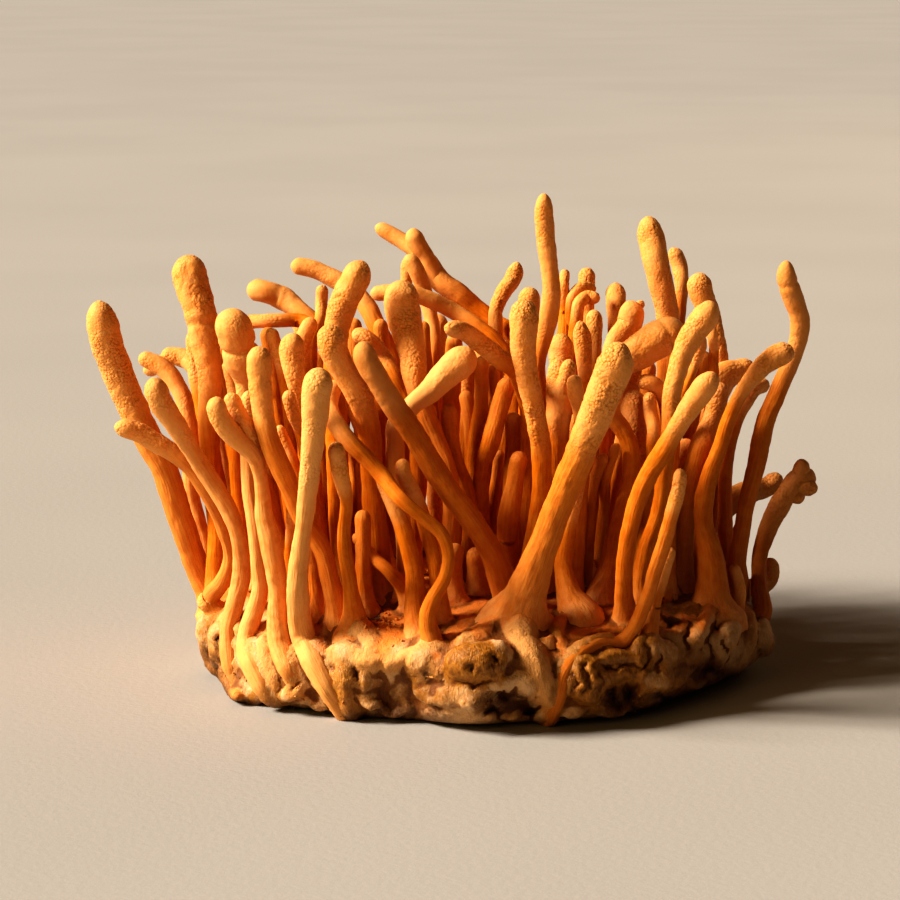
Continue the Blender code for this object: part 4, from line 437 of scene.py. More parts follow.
# Knobs that stand on a stroma: across, up, diameter from the end in, as forks are
KNOBS = {
    "right_knobby": [[(49.0, -5.2, 2.0), (47.2, -5.0, 2.4), (45.4, -5.4, 2.0)], [(46.9, -7.0, 1.9),
        (46.2, -6.2, 2.2), (44.9, -5.8, 1.8)]],
    "left_low": [[(-33.6, -20.8, 2.7), (-32.9, -20.5, 2.9), (-31.6, -19.8, 2.1)]],
    "left_short": [[(-40.8, 10.3, 1.9), (-39.2, 11.2, 2.1), (-37.6, 12.2, 2.0)]],
}

# Stromata that run on as roots over the base's front: across, up, diameter, from where the root leaves off
ROOT_RUNS = {
    "fore_pale": [(-19.8, -22.4, 3.2), (-19.0, -25.4, 3.2), (-17.6, -28.6, 3.1), (-16.2, -31.4, 2.8),
        (-14.4, -34.4, 2.4), (-13.4, -36.0, 1.8)],
    "fore_thin": [(-26.9, -22.5, 2.2), (-26.8, -25.6, 2.6), (-25.9, -29, 2.8), (-24.3, -32, 2.6),
        (-22.4, -34.4, 2.0)],
    "fore_forked": [(-22.7, -22.5, 2.9), (-22.2, -26, 3.0), (-21.2, -29.5, 2.5), (-20.2, -32.6, 1.8)],
    "left_bent": [(-28.2, -20.5, 2.8), (-29.2, -24.5, 2.3), (-28.9, -28.5, 2.4), (-27.9, -32.4, 1.7)],
    "right_small": [(24.6, -23.8, 1.9), (22.5, -25.6, 1.9), (19.8, -25.9, 1.9), (17.2, -27.2, 1.9),
        (15.2, -29.6, 1.85), (14.4, -32.6, 1.85), (13.4, -35.6, 1.8), (10.6, -36.7, 1.4)],
}
# Other roots on the base's front
ROOTS = [
    ["great_front", (9.3, -25.2, 5.2), (11.1, -28.6, 4.6), (12.5, -31.6, 3.2), (13.1, -34.4, 1.8)],
    ["great_front", (5.6, -23.8, 4.0), (3.2, -25.2, 3.0), (0.8, -26.2, 1.8)],
    ["right_fore", (27.4, -26.4, 3.2), (28.5, -29.4, 2.6), (29.0, -31.8, 1.4)],
    ["fore_second", (-11.4, -25.2, 3.4), (-9.6, -26.8, 2.0)],
    ["winding", (-3.0, -24.6, 3.2), (-4.0, -27.4, 1.8)],
    [(-33.0, -21.6, 1.7), (-32.5, -25.2, 1.9), (-32.0, -28, 1.7), (-31, -29.9, 1.2)],
    [(-31.0, -22.2, 1.6), (-31.2, -26, 1.8), (-30.5, -29.4, 1.6), (-29.4, -31.5, 1.2)],
    [(-33.2, -23.2, 1.4), (-31.2, -22.6, 1.9), (-29.2, -22.9, 2.0), (-27.6, -24.4, 1.6)],
    [(-30.4, -28.6, 1.4), (-29.6, -30.8, 1.8), (-28, -33, 1.4)],
    [(-18.2, -26.8, 1.2), (-17.2, -29.4, 1.6), (-15.8, -32.0, 1.5), (-14.5, -34.2, 1.1)],
    [(-13.8, -26.4, 1.4), (-10.8, -28.2, 1.9), (-7.8, -28.8, 2.0), (-5.2, -27.6, 2.2), (-3.0, -26.6, 2.2),
        (-0.6, -25.9, 1.6)],
    [(-14.2, -28.0, 2.2), (-14.2, -30.2, 2.9), (-13.7, -33, 2.9), (-12.9, -35.8, 2.1)],
    [(18.2, -31.6, 1.2), (19.0, -28.9, 1.6), (21.4, -27.6, 1.8), (24.2, -28.2, 1.8), (25.5, -30.4, 1.7),
        (25.0, -33.2, 1.2)],
    [(20.4, -33.4, 1.2), (20.8, -30.8, 1.6), (22.6, -29.8, 1.7), (23.8, -31.6, 1.4)],
    [(35.9, -18.8, 0.9), (34.6, -21, 1.5), (33.3, -24.2, 1.8), (31.8, -27.2, 1.6), (30.4, -30, 1.2)],
    [(33.6, -27.2, 1.1), (31.6, -29.2, 1.5), (29.4, -31.8, 1.2)],
    [(37.0, -20.2, 1.5), (37.9, -23.8, 2.3), (36.4, -27, 2.0), (34.6, -29.6, 1.3)],
    [(39.4, -21.2, 1.6), (40.1, -24.6, 2.0), (38.8, -27.8, 1.7), (37, -30.2, 1.2)],
    [(14.9, -26.5, 1.0), (14.2, -24.6, 1.4), (15.0, -22.4, 1.4)],
    [(27.0, -24.1, 1.0), (29, -24.7, 1.4), (31.2, -25.4, 1.0)],
    [(-24.6, -24.6, 1.4), (-24.4, -27.6, 1.6), (-22.9, -31.2, 1.5), (-21.2, -34.2, 1.1)],
]
# Lumps of the base's front: across, up, width, height, how far it stands out
LUMPS = [
    (-26.4, -31.8, 6.4, 4.6, 1.3), (26.4, -27.0, 5.4, 5.0, 1.4), (-13.8, -27.6, 6.0, 3.6, 1.2),
    (-3.4, -28.8, 5.0, 4.4, 1.1), (3.4, -28.4, 7.6, 5.2, 2.4), (5.9, -27.2, 4.4, 3.4, 2.2),
    (18.2, -30.6, 5.4, 6.2, 1.6), (28.6, -27.4, 4.4, 4.0, 0.9), (27.6, -31, 4.0, 3.4, 0.8),
    (-1.6, -31.6, 6.4, 5.0, 0.8), (-21.4, -31.2, 4.4, 4.6, 0.7), (9.2, -31.2, 4.4, 3.6, 1.2),
    (3.0, -33.6, 3.0, 2.2, 1.1), (6.4, -30.9, 3.0, 2.0, 1.1), (16.4, -34.8, 3.4, 2.0, 0.9),
    (21.8, -34.8, 4.4, 1.9, 1.0), (-10.6, -32.6, 3.4, 4.0, 0.7), (37.4, -24.8, 4.4, 4.6, 0.7),
    (33, -31, 4.0, 2.0, 0.7), (-17.3, -34.1, 2.4, 1.5, 1.4), (7.9, -35.2, 2.6, 1.6, 1.0),
    (-7.6, -34.6, 3.4, 2.4, 0.7),
]
# Pits: across, up, width, height, depth
PITS = [
    (-30.6, -25.0, 1.0, 1.7, 1.5), (-29.5, -27.2, 0.9, 1.6, 1.4), (-28.1, -27.6, 0.6, 1.6, 0.9),
    (-9.8, -22.2, 3.0, 2.0, 1.8), (7.4, -32.4, 1.9, 1.5, 2.4), (5.2, -34.8, 2.4, 1.3, 2.2),
    (10.5, -34.6, 2.2, 1.3, 2.4), (21.7, -32.2, 1.1, 2.0, 1.9), (24.1, -32.6, 1.3, 1.6, 1.8),
    (28.6, -32.9, 2.6, 1.0, 1.4), (35.3, -23.6, 0.9, 1.2, 1.3), (34.6, -29.4, 2.2, 0.9, 1.2),
    (13.5, -26.3, 1.2, 1.6, 0.9), (3.2, -28.8, 0.8, 1.3, 0.8), (29.5, -22.8, 3.0, 1.6, 1.4),
    (-12.4, -30, 0.6, 1.5, 0.8), (-15.3, -33.0, 0.8, 1.4, 1.0), (5.6, -27.9, 1.6, 0.6, 0.8),
    (-3.2, -29.6, 0.6, 2.2, 0.5), (-1.2, -30.6, 0.5, 2.4, 0.4),
]
# Broad hollows under the rim: across, up, width, height, depth
DENTS = [
    (-6.6, -32.4, 10.6, 7.4, 2.6), (8.6, -34.2, 6.4, 4.4, 3.0), (22.8, -32.8, 5.4, 4.0, 2.4),
    (34.0, -29.4, 5.4, 3.6, 1.6), (-17.6, -31.0, 2.6, 5.0, 1.0), (29.2, -21.4, 4.6, 3.0, 2.0),
]
# Narrow folds in the dried skin: across, up, width, height, depth
FOLDS = [
    (18.2, -30.2, 0.9, 5.2, 0.9), (16.6, -31.4, 0.8, 3.4, 0.7), (20.0, -31.0, 0.8, 3.8, 0.8),
    (21.6, -29.0, 3.6, 0.8, 0.8), (24.8, -28.8, 3.0, 0.8, 0.8), (26.3, -27.2, 0.9, 4.4, 0.9),
    (27.9, -28.6, 0.8, 3.0, 0.7), (31.6, -24.8, 0.8, 3.8, 0.8), (34.6, -26.0, 0.9, 4.6, 0.9),
    (36.7, -26.2, 0.8, 3.8, 0.8), (3.4, -31.0, 5.0, 0.8, 0.8), (5.9, -28.6, 0.8, 3.0, 0.7),
    (-8.6, -32.2, 2.2, 4.8, 0.5), (-4.6, -33.0, 2.0, 4.6, 0.5), (-2.0, -32.6, 1.6, 4.4, 0.4),
    (-22.6, -31.0, 1.2, 3.0, 0.35), (-20.8, -31.8, 1.0, 2.6, 0.35),
]
# Waves that make the marks irregular: how close they are, and how far they swing in mm
MARK_WAVES = ((1.7, 0.34), (3.9, 0.16))
MARK_STARTS = (0.7, 2.1)
# Colours of the base's front, laid on in this order: across, up, width, height, amber, darkness (partly the
# felt's own darker tone, partly painted shade under the rim)
PATCHES = [
    (25.0, -30.0, 22.0, 14.0, 0.8, 0.12), (-14, -31, 4.4, 7.0, 0.8, 0.05), (-12.6, -35, 3.6, 2.4, 0.75, 0.2),
    (3.2, -28.6, 9.6, 6.6, 1.0, 0.12), (4.5, -33.6, 6.0, 3.4, 0.6, 0.5), (8.4, -33.6, 6.4, 3.4, 0.5, 0.7),
    (18.6, -31, 7.2, 7.4, 0.9, 0.15), (22.8, -33.2, 5.6, 3.4, 0.7, 0.6), (24.4, -29.6, 4.0, 3.0, 0.75, 0.1),
    (29, -26.6, 5.4, 4.2, 0.5, 0.0), (28.6, -33.2, 5.4, 2.0, 0.4, 0.65), (27.4, -30.8, 3.2, 2.4, 0.05, 0.0),
    (35.2, -29.4, 6.0, 3.6, 0.6, 0.55), (37.4, -24.4, 4.0, 5.0, 0.45, 0.0),
    (-5.6, -32.0, 14.0, 7.4, 0.62, 0.46), (-8.2, -30.0, 2.6, 3.0, 0.1, 0.1),
    (-6.6, -35.4, 14.0, 2.8, 0.5, 0.66), (-21.6, -30.6, 4.6, 5.0, 0.0, 0.0),
    (-22.0, -34.0, 9.0, 2.6, 0.5, 0.3), (-29.0, -30.6, 4.0, 3.4, 0.5, 0.25),
    (-28.4, -20.6, 3.4, 3.6, 0.0, 0.0), (10.8, -27.4, 5.6, 6.2, 0.0, 0.0), (-9.4, -28, 8.0, 2.2, 0.0, 0.0),
    (-30.2, -26, 2.6, 4.2, 0.45, 0.0), (-25.4, -32.6, 3.2, 2.6, 0.6, 0.0), (13.2, -24.6, 3.4, 3.2, 0.7, 0.1),
    (14.4, -33, 2.2, 5.0, 0.75, 0.0), (31.4, -20.6, 6.4, 3.0, 0.9, 0.25),
]
# Places with crumbs of dried matter: across, up, width, height
CRUMBS = [
    (-21, -31.4, 3.2, 3.6), (-9.4, -23, 4.0, 2.4), (-6.8, -25.4, 2.4, 1.6), (5.0, -33, 4.4, 2.2),
    (-15.6, -33.6, 2.4, 2.0), (24, -33.4, 4.0, 1.6), (-27.4, -30.2, 1.6, 2.2),
]
PATCH_EDGE = 2.2  # how sharply a patch ends: the power of its distance
DENT_EDGE = 1.6  # the same for dents and folds
FRONT_DEPTH = -6  # what is nearer the viewer than this has the listed marks
OUTER_START = (20, 6)  # mm from the middle from which they are hollowed, and over which they get their depth
PLAIN_AMBER = 0.2
# Painted shade in the pits: how dark their bottoms get
PIT_SHADE = 0.95
PIT_EDGE = (1 / 6, 2 / 3)  # the share of a pit's depth from which it has painted shade, and over which
LOW_SHADE = 0.72  # how dark the painted contact shadow along the lower edge is
LOW_EDGE = (0.5, 1.3)  # its height, and over how much more a third of that is left
LOW_SHARES = (0.9, 0.6)  # its share where the felt is amber, and where it isn't
AMBER_LEAST = 0.15
CROWN_HEIGHT = (7.5, 2.0)  # from where the felt is orange, and over which height
CROWN_SLOPE = (0.15, 0.4)  # the same for how far a surface faces up
CROWN_EDGE = 2.4
CROWN_WAVES = (1.1, 0.9, 0.7, 2.3)  # two waves that make its edge ragged: mm and radians a mm
# Where the felt between the stalks is pale all the same: across, up, width, height
PALE_FELT = [
    (9.0, -25.4, 8.0, 5.0), (-13.6, -25.2, 8.0, 3.4), (-4.0, -26.6, 8.0, 1.8), (-27.6, -22.4, 8.0, 5.0),
]
CAVITY_ROUNDS = 7  # how far round it a point is compared with, in steps from corner to corner
CAVITY_DEPTH = 0.22  # mm that counts as the bottom of a crease

# Round the sides and back, which the view doesn't show, the base has more of the same
FAR_ROOTS = 34
FAR_LUMPS = 30
FAR_PITS = 22
FAR_SEED = 23
FAR_FRONT = 62.0  # degrees from the front that is left to the listed ones
FAR_ROOT_HEIGHTS = (11.5, 9.0, 6.0, 3.2, 0.9)
FAR_ROOT_WIDTH = (0.8, 1.5)
FAR_ROOT_TAPER = (1.15, 0.12)  # its top's share of that width, and by how much each height is less
FAR_ROOT_DRIFT = 0.10  # radians that it may run round the cake
FAR_ROOT_STRAY = 0.025  # radians that it may stray at each height
FAR_LUMP_HEIGHT = (2.0, 9.0)
FAR_LUMP_SIZES = ((1.4, 3.4), (1.2, 2.6), (0.7, 1.7))  # across, up and out
FAR_PATCHES = 60
FAR_PATCH_HEIGHT = (0, 10)
FAR_PATCH_SIZE = (1.6, 4.5)
FAR_PATCH_CHAR = (-0.6, 0.6)  # none where it is below 0
FAR_PATCH_REACH = 27  # mm from the middle from which they show
FAR_PATCH_EDGE = 1.5
FAR_PIT_HEIGHT = (1, 9)
FAR_PIT_SIZE = (0.7, 1.6)
FAR_PIT_DEPTH = (0.8, 2.0)
# Painted shade in the pits round the sides and back
FAR_PIT_SHADE = 0.9


def cake_height(x, y):
    """The height of the cake's plain top at a place, or below the floor where there is none."""
    top = [corner for corner in CAKE_PROFILE if corner[1] >= CAKE_RIM]
    reaches, heights = zip(*top)
    return np.interp(np.hypot(x, y), reaches, heights, right=-1.0)


def eye():
    """Where the courses were read from."""
    away = np.array([0.0, -math.cos(SIGHT_RISE), math.sin(SIGHT_RISE)])
    return SIGHT_TARGET + SIGHT_DISTANCE * away


def place(across, up, depth):
    """The point seen at (across, up) whose y is depth."""
    start = eye()
    on_plane = SIGHT_TARGET + np.array([across, up * math.sin(SIGHT_RISE), up * math.cos(SIGHT_RISE)])
    reach = (depth - start[1]) / (on_plane[1] - start[1])
    return start + (on_plane - start) * reach


def seen_depth(across, up):
    """The depth at which the sight line through (across, up) comes down on the cake."""
    depth, best, least = -CAKE_RADIUS, -CAKE_RADIUS, math.inf
    while depth < CAKE_RADIUS:
        point = place(across, up, depth)
        above = point[2] - cake_height(point[0], point[1])
        if above <= 0.0:
            return depth
        if above < least:
            best, least = depth, above
        depth += SIGHT_STEP
    return best


def lengths(points):
    """How far along the course each point is."""
    steps = np.linalg.norm(np.diff(points, axis=0), axis=1)
    return np.concatenate([[0.0], np.cumsum(steps)])


def hermite(along, values, places):
    """A smooth curve through values at distances along, read at these places."""
    slopes = np.gradient(values, along, axis=0)
    k = np.clip(np.searchsorted(along, places) - 1, 0, len(along) - 2)
    span = along[k + 1] - along[k]
    s = (places - along[k]) / span
    if values.ndim > 1:
        span, s = span[:, None], s[:, None]
    return ((2 * s ** 3 - 3 * s ** 2 + 1) * values[k] + (s ** 3 - 2 * s ** 2 + s) * span * slopes[k]
            + (3 * s ** 2 - 2 * s ** 3) * values[k + 1] + (s ** 3 - s ** 2) * span * slopes[k + 1])


def smooth_at(points, places):
    """Points of the smooth curve through the course, at these distances along it."""
    return hermite(lengths(points), points, places)


def course(tip_depth, foot_depth, readings, order):
    """A stroma's centre line and radii, in mm, from its tip to its root in the cake."""
    flat = np.array([reading[:2] for reading in readings], dtype=float)
    along = lengths(flat)
    if foot_depth is SEEN:
        foot_depth = seen_depth(flat[-1][0], flat[-1][1])
    pins = [(0.0, tip_depth), (along[-1], foot_depth)]
    pins += [(along[k], reading[3]) for k, reading in enumerate(readings) if len(reading) > 3]
    pins.sort()
    depths = np.interp(along, [pin[0] for pin in pins], [pin[1] for pin in pins])
    share = along / along[-1]
    sway = SWAY * np.sin(2 * math.pi * (share + SWAY_STEP * order)) * np.sin(math.pi * share)
    points = [place(a, u, d) for (a, u), d in zip(flat, depths + sway)]
    radii = [reading[2] / 2 for reading in readings]
    return add_root(points, radii)


def add_root(points, radii):
    """Carry a course on down into the cake."""
    x, y, z = points[-1]
    if z - cake_height(x, y) > HIDDEN_FALL:
        x, y = HIDDEN_DRAW * x, HIDDEN_DRAW * y
    inwards = min(1.0, ROOT_REACH / max(math.hypot(x, y), 1e-6))
    x, y = x * inwards, y * inwards
    root = np.array([x, y, cake_height(x, y) - ROOT_DEPTH])
    if root[2] > z - FOOT_ROOM:
        points, radii = points[:-1], radii[:-1]
    return np.array(points + [root]), np.array(radii + [radii[-1] * ROOT_FLARE])


def rings(points, radii, tolerance=RING_TOLERANCE, spacing=RING_SPACING):
    """The same course with a ring wherever it bends or swells, the second where the tip is full width."""
    along = lengths(points)
    places = np.concatenate([[0.0], np.arange(radii[0], along[-1] - END_ROOM, STATION), [along[-1]]])
    widths = np.interp(places, along, radii)
    dense = smooth_at(points, places)
    kept = [0, 1] + thin_out(np.column_stack([dense, widths]), places, 1, len(places) - 1, tolerance, spacing)
    return dense[kept], widths[kept], places[kept]


def thin_out(shape, places, low, high, tolerance, spacing):
    """The stations from low to high that a chain of straight stretches needs, without low itself."""
    share = ((places[low:high + 1] - places[low]) / (places[high] - places[low]))[:, None]
    straight = shape[low] + (shape[high] - shape[low]) * share
    off = np.linalg.norm(shape[low:high + 1] - straight, axis=1)
    worst = low + int(np.argmax(off))
    if off.max() <= tolerance:
        if places[high] - places[low] <= spacing:
            return [high]
        worst = (low + high) // 2
    if worst in (low, high):
        return [high]
    return (thin_out(shape, places, low, worst, tolerance, spacing)
            + thin_out(shape, places, worst, high, tolerance, spacing))


def upright(turn, root, lean, top, width, bend):
    """A plain stroma rooted at a distance from the middle, in a direction, leaning outwards."""
    out = np.array([math.sin(turn), math.cos(turn), 0.0])
    aside = np.array([out[1], -out[0], 0.0])
    points, radii = [], []
    for share, swell in UPRIGHT_SHAPE:
        height = np.array([0.0, 0.0, UPRIGHT_FOOT + (top - UPRIGHT_FOOT) * share])
        points.append(out * (root + lean * share ** LEAN_POWER)
                      + aside * bend * math.sin(BEND_TURN * share) + height)
        radii.append(width * swell)
    return add_root(points, radii)


def rear_courses():
    """The stromata of the far side, from a few sizes and a fixed seed."""
    chance = random.Random(REAR_SEED)
    found = {}
    for k in range(REAR_COUNT):
        stray = chance.uniform(-REAR_STRAY, REAR_STRAY)
        turn = math.radians(REAR_SPREAD * (2 * k / (REAR_COUNT - 1) - 1) + stray)
        root = chance.uniform(*REAR_ROOT) - REAR_STAGGER * (k % 2)
        lean = chance.uniform(*REAR_LEAN)
        top = chance.uniform(*REAR_HEIGHT) + REAR_TALLER * (k % 2)
        width = chance.uniform(*REAR_DIAMETER) / 2
        found["rear_%02d" % (k + 1)] = upright(turn, root, lean, top, width, chance.uniform(*REAR_BEND))
    return found


def heart_courses(others):
    """The short stromata of the bunch's heart, where the golden angle finds room between the others."""
    chance = random.Random(HEART_SEED)
    found = {}
    for k in range(HEART_TRIES):
        turn = HEART_TURN + k * GOLDEN_ANGLE
        root = HEART_REACH * math.sqrt((k + 0.5) / HEART_TRIES)
        shape = upright(turn, root, chance.uniform(*HEART_LEAN), chance.uniform(*HEART_HEIGHT),
                        chance.uniform(*HEART_DIAMETER) / 2, chance.uniform(*HEART_BEND))
        if root * math.cos(turn) > HEART_FRONT and has_room(shape[0], [*others, *found.values()]):
            found["heart_%02d" % (len(found) + 1)] = shape
    return found


def has_room(points, others):
    """Whether no other stalk comes near this one at any of the levels."""
    for level in HEART_LEVELS:
        here = spot_at(points, level)
        there = [spot_at(other, level) for other, _ in others]
        if here is not None and any(math.dist(here, spot) < HEART_ROOM for spot in there if spot is not None):
            return False
    return True


def spot_at(points, level):
    """Where a stalk passes a height, x and y, or None if it doesn't reach it."""
    for upper, lower in zip(points, points[1:]):
        if upper[2] >= level > lower[2]:
            return lower[:2] + (upper[:2] - lower[:2]) * (level - lower[2]) / (upper[2] - lower[2])
    return None


def nearest(p0, p1, q0, q1):
    """Where two sets of stretches come closest: the share along each, and the way between."""
    u, v, w = p1 - p0, q1 - q0, p0 - q0
    a, b, c = (u * u).sum(1), (u * v).sum(1), (v * v).sum(1)
    d, e = (u * w).sum(1), (v * w).sum(1)
    spread = np.maximum(a * c - b * b, 1e-9)
    s = np.clip((b * e - c * d) / spread, 0, 1)
    t = np.clip((b * s + e) / np.maximum(c, 1e-9), 0, 1)
    s = np.clip((b * t - d) / np.maximum(a, 1e-9), 0, 1)
    return s, t, w + u * s[:, None] - v * t[:, None]


def settle(stalks, groups):
    """Move stalks nearer or farther along the sight lines until each has its own room.

    groups holds a number for each stalk: two stalks with the same number may run into each other.
    The last rounds push straight apart what is still too close, by a fraction of a millimetre.
    """
    first = np.concatenate([[0], np.cumsum([len(points) for points, _ in stalks])])
    centre = np.vstack([points for points, _ in stalks])
    width = np.concatenate([np.concatenate([[TIP_SHARE * radii[0]], radii[1:]]) for _, radii in stalks])
    sight = centre - eye()
    sight /= np.linalg.norm(sight, axis=1)[:, None]
    shift = np.zeros(centre.shape)
    is_root = np.zeros(len(centre), dtype=bool)
    is_root[first[1:] - 1] = True
    heads = np.concatenate([np.arange(first[k], first[k + 1] - 1) for k in range(len(stalks))])
    owner = np.concatenate([np.full(first[k + 1] - first[k] - 1, groups[k]) for k in range(len(stalks))])
    one, two = np.triu_indices(len(heads), 1)
    apart = owner[one] != owner[two]
    one, two = one[apart], two[apart]
    for turn in range(SETTLE_ROUNDS):
        now = centre + shift
        middle = (now[heads] + now[heads + 1]) / 2
        half = np.linalg.norm(now[heads + 1] - now[heads], axis=1) / 2
        thick = np.maximum(width[heads], width[heads + 1])
        room = np.linalg.norm(middle[one] - middle[two], axis=1)
        close = room < half[one] + half[two] + thick[one] + thick[two] + SETTLE_GAP
        i, j = heads[one[close]], heads[two[close]]
        s, t, between = nearest(now[i], now[i + 1], now[j], now[j + 1])
        wanted = (width[i] * (1 - s) + width[i + 1] * s + width[j] * (1 - t) + width[j + 1] * t
                  + SETTLE_GAP)
        distance = np.linalg.norm(between, axis=1)
        tight = distance < wanted - SETTLE_SLACK
        if not tight.any():
            break
        push = between / np.maximum(distance, 1e-6)[:, None] * (0.5 * (wanted - distance))[:, None]
        if turn < SIGHT_ROUNDS:
            ray = sight[i] * (1 - s)[:, None] + sight[i + 1] * s[:, None]
            toward = (between * ray).sum(1)
            off_ray = distance ** 2 - toward ** 2
            reach = np.sqrt(np.maximum(wanted ** 2 - off_ray, 0)) - np.abs(toward)
            near_root = (is_root[i + 1] & (s > 0.5)) | (is_root[j + 1] & (t > 0.5))
            along_ray = ray * (np.where(toward >= 0, 0.5, -0.5) * reach)[:, None]
            push = np.where(near_root[:, None], push, along_ray)
        push = np.where(tight[:, None], push, 0.0)
        moved, hits = np.zeros(centre.shape), np.zeros(len(centre))
        for spots, amounts, weights in ((i, push, 1 - s), (i + 1, push, s), (j, -push, 1 - t),
                                        (j + 1, -push, t)):
            np.add.at(moved, spots, amounts * weights[:, None])
            np.add.at(hits, spots, np.where(tight, weights, 0.0))
        shift += moved / np.maximum(hits, 1.0)[:, None]
        if turn < EASE_ROUNDS:
            shift = ease(shift, first)
        keep_rooted(centre, shift, first[1:] - 1)
    settled = centre + shift
    return [settled[first[k]:first[k + 1]] for k in range(len(stalks))]


def keep_rooted(centre, shift, roots):
    """Keep each stalk's last point inside the cake, a little below its top."""
    where = centre[roots] + shift[roots]
    reach = np.hypot(where[:, 0], where[:, 1])
    where[:, :2] *= np.minimum(1.0, ROOT_REACH / np.maximum(reach, 1e-6))[:, None]
    where[:, 2] = cake_height(where[:, 0], where[:, 1]) - ROOT_DEPTH
    shift[roots] = where - centre[roots]


def ease(shift, first):
    """Share each stalk's shift out along it, so that it bends and doesn't kink."""
    eased = shift.copy()
    for low, high in zip(first, first[1:]):
        run = shift[low:high]
        padded = np.vstack([run[:1], run, run[-1:]])
        eased[low:high] = EASE_OWN * run + (1.0 - EASE_OWN) / 2 * (padded[:-2] + padded[2:])
    return eased


def around(turn, reach=1.0, height=0.0):
    """The point at a turn round from the front, a reach from the middle and a height."""
    return np.array([math.sin(turn) * reach, -math.cos(turn) * reach, height])


def lump_height(point):
    """How far the cake stands out at a point of its plain surface, in mm."""
    rise = 0.0
    for degrees, height, spread, amount in CAKE_LUMPS:
        centre = Vector(around(math.radians(degrees), CAKE_RADIUS, height))
        rise += amount * math.exp(-((point - centre).length / spread) ** 2)
    return rise


def lobe_reach(point):
    """How far the cake's edge stands out or in, round about a point, in mm."""
    turn = math.atan2(point.x, -point.y)
    return sum(amount * math.sin(number * turn + start) for number, amount, start in CAKE_LOBES)


def wave_height(point):
    """How far the cake's top rolls up or down at a point, in mm."""
    across, deep = CAKE_WAVE_PITCH
    roll = math.sin(across * point.x + CAKE_WAVE_START[0]) * math.cos(deep * point.y + CAKE_WAVE_START[1])
    return CAKE_WAVE * roll * min(1.0, point.z / CAKE_WAVE_HEIGHT)


# ---------------------------------------------------------------- courses at fine places

DOME_START = 0.14  # radians from a tip's middle to its dome's first ring
HEAD_FINE = 1.25  # the fine rings go on to this many of a head's lengths
HEAD_SHARE = 0.6  # but not past this share of the stalk
LAST_STEP = 0.1  # mm between the last two rings, at least


def fine_course(raw, coarse, settled, steps, dome_length=DOME_LENGTH):
    """A stroma's course at fine places, moved as its solid was: points, radii and distances from its tip."""
    points, radii = raw
    coarse_points, coarse_places = coarse
    along = lengths(points)
    head_step, plain_step = steps
    turn = np.linspace(DOME_START, math.pi / 2, DOME_STEPS)
    dome = dome_length * radii[0]
    head = min(HEAD_DIAMETERS * 2 * radii[:3].max() * HEAD_FINE, HEAD_SHARE * along[-1])
    places = np.concatenate([dome * (1 - np.cos(turn)), np.arange(dome + head_step, head, head_step),
                             np.arange(head, along[-1] - LAST_STEP, plain_step), [along[-1]]])
    shift = hermite(coarse_places, settled - coarse_points, places)
    width = hermite(along, radii, places)
    width[:DOME_STEPS] *= np.sin(turn)
    centres = smooth_at(points, places) + shift
    nearer = np.minimum(1.0, (centres[:, 1] - eye()[1]) / -eye()[1])
    return centres, width * nearer, places


def rest_height(points):
    """How far above the cake's plain top each point is."""
    return points[:, 2] - np.maximum(cake_height(points[:, 0], points[:, 1]), 0.0)


RUNS = {}  # the part of a stroma that lies on the base's skin, by name


def run_on(name, fine, readings=None):
    """A stroma's course that goes on as a root over the rim and down the base's side."""
    points, radii, places = fine
    if readings:
        cut = on_view(points)[:, 1] > readings[0][1] + RUN_ROOM
        skin = [skin_point(a, u) for a, u, _ in readings[1:]]
        widths = np.array([d / 2 for _, _, d in readings[1:]])
    else:
        cut = rest_height(points) > RUN_ROOM
        skin, widths = side_run(name, points[-1], radii[cut][-1])
    last = np.nonzero(cut)[0][-1]
    skin = np.array([point + outwards(point) * RUN_LIFT * width for point, width in zip(skin, widths)])
    keep = np.unique(np.concatenate([np.arange(last, 0, -RUN_STRIDE), [last]]))
    keep = keep[places[keep] > 2 * DOME_LENGTH * radii[DOME_STEPS]]
    guide = np.vstack([points[keep], skin])
    girths = np.concatenate([radii[keep], widths])
    along = lengths(guide)
    start = keep[0]
    run = np.arange(0, along[-1], PLAIN_STEP)
    fine_points = np.vstack([points[:start], hermite(along, guide, run)])
    taper = np.clip((along[-1] - run) / (RUN_TAPER * widths[-1]), TAPER_LEAST, 1.0) ** TAPER_POWER
    fine_radii = np.concatenate([radii[:start], hermite(along, girths, run) * taper])
    RUNS[name] = skin, widths, places[start]
    return fine_points, fine_radii, np.concatenate([places[:start], places[start] + run])


def outwards(point):
    """The level direction from the middle of the cake to a point."""
    level = np.array([point[0], point[1], 0.0])
    return level / max(np.linalg.norm(level), 1e-6)


def side_run(name, foot, width):
    """A root down the side below a foot that the view doesn't show."""
    chance = random.Random(name)
    turn = math.atan2(foot[0], -foot[1])
    drift = chance.uniform(-SIDE_DRIFT, SIDE_DRIFT)
    most, less = SIDE_RUN_WIDTH
    skin, widths = [], []
    for k, height in enumerate(SIDE_RUN_HEIGHTS[:chance.randint(*SIDE_RUN_COUNT)]):
        a = turn + drift * k / 2 + chance.uniform(-SIDE_STRAY, SIDE_STRAY)
        skin.append(around(a, reach_at(a, height) - SIDE_SINK * width, height))
        widths.append(width * (most - less * k) * chance.uniform(*SIDE_RUN_SWELL))
    return skin, np.array(widths)


def needs_side_run(name, points):
    """Whether a stroma of its own node is rooted near the rim of the sides or back."""
    foot = points[-1]
    turn = abs(math.degrees(math.atan2(foot[0], -foot[1])))
    return name not in ROOT_RUNS and math.hypot(foot[0], foot[1]) > RUN_REACH and turn > RUN_FRONT


def is_small(name):
    """Whether a stroma is one with the cake."""
    return name in SMALL_STROMATA or name in FAR_STROMATA or name.startswith("heart_")


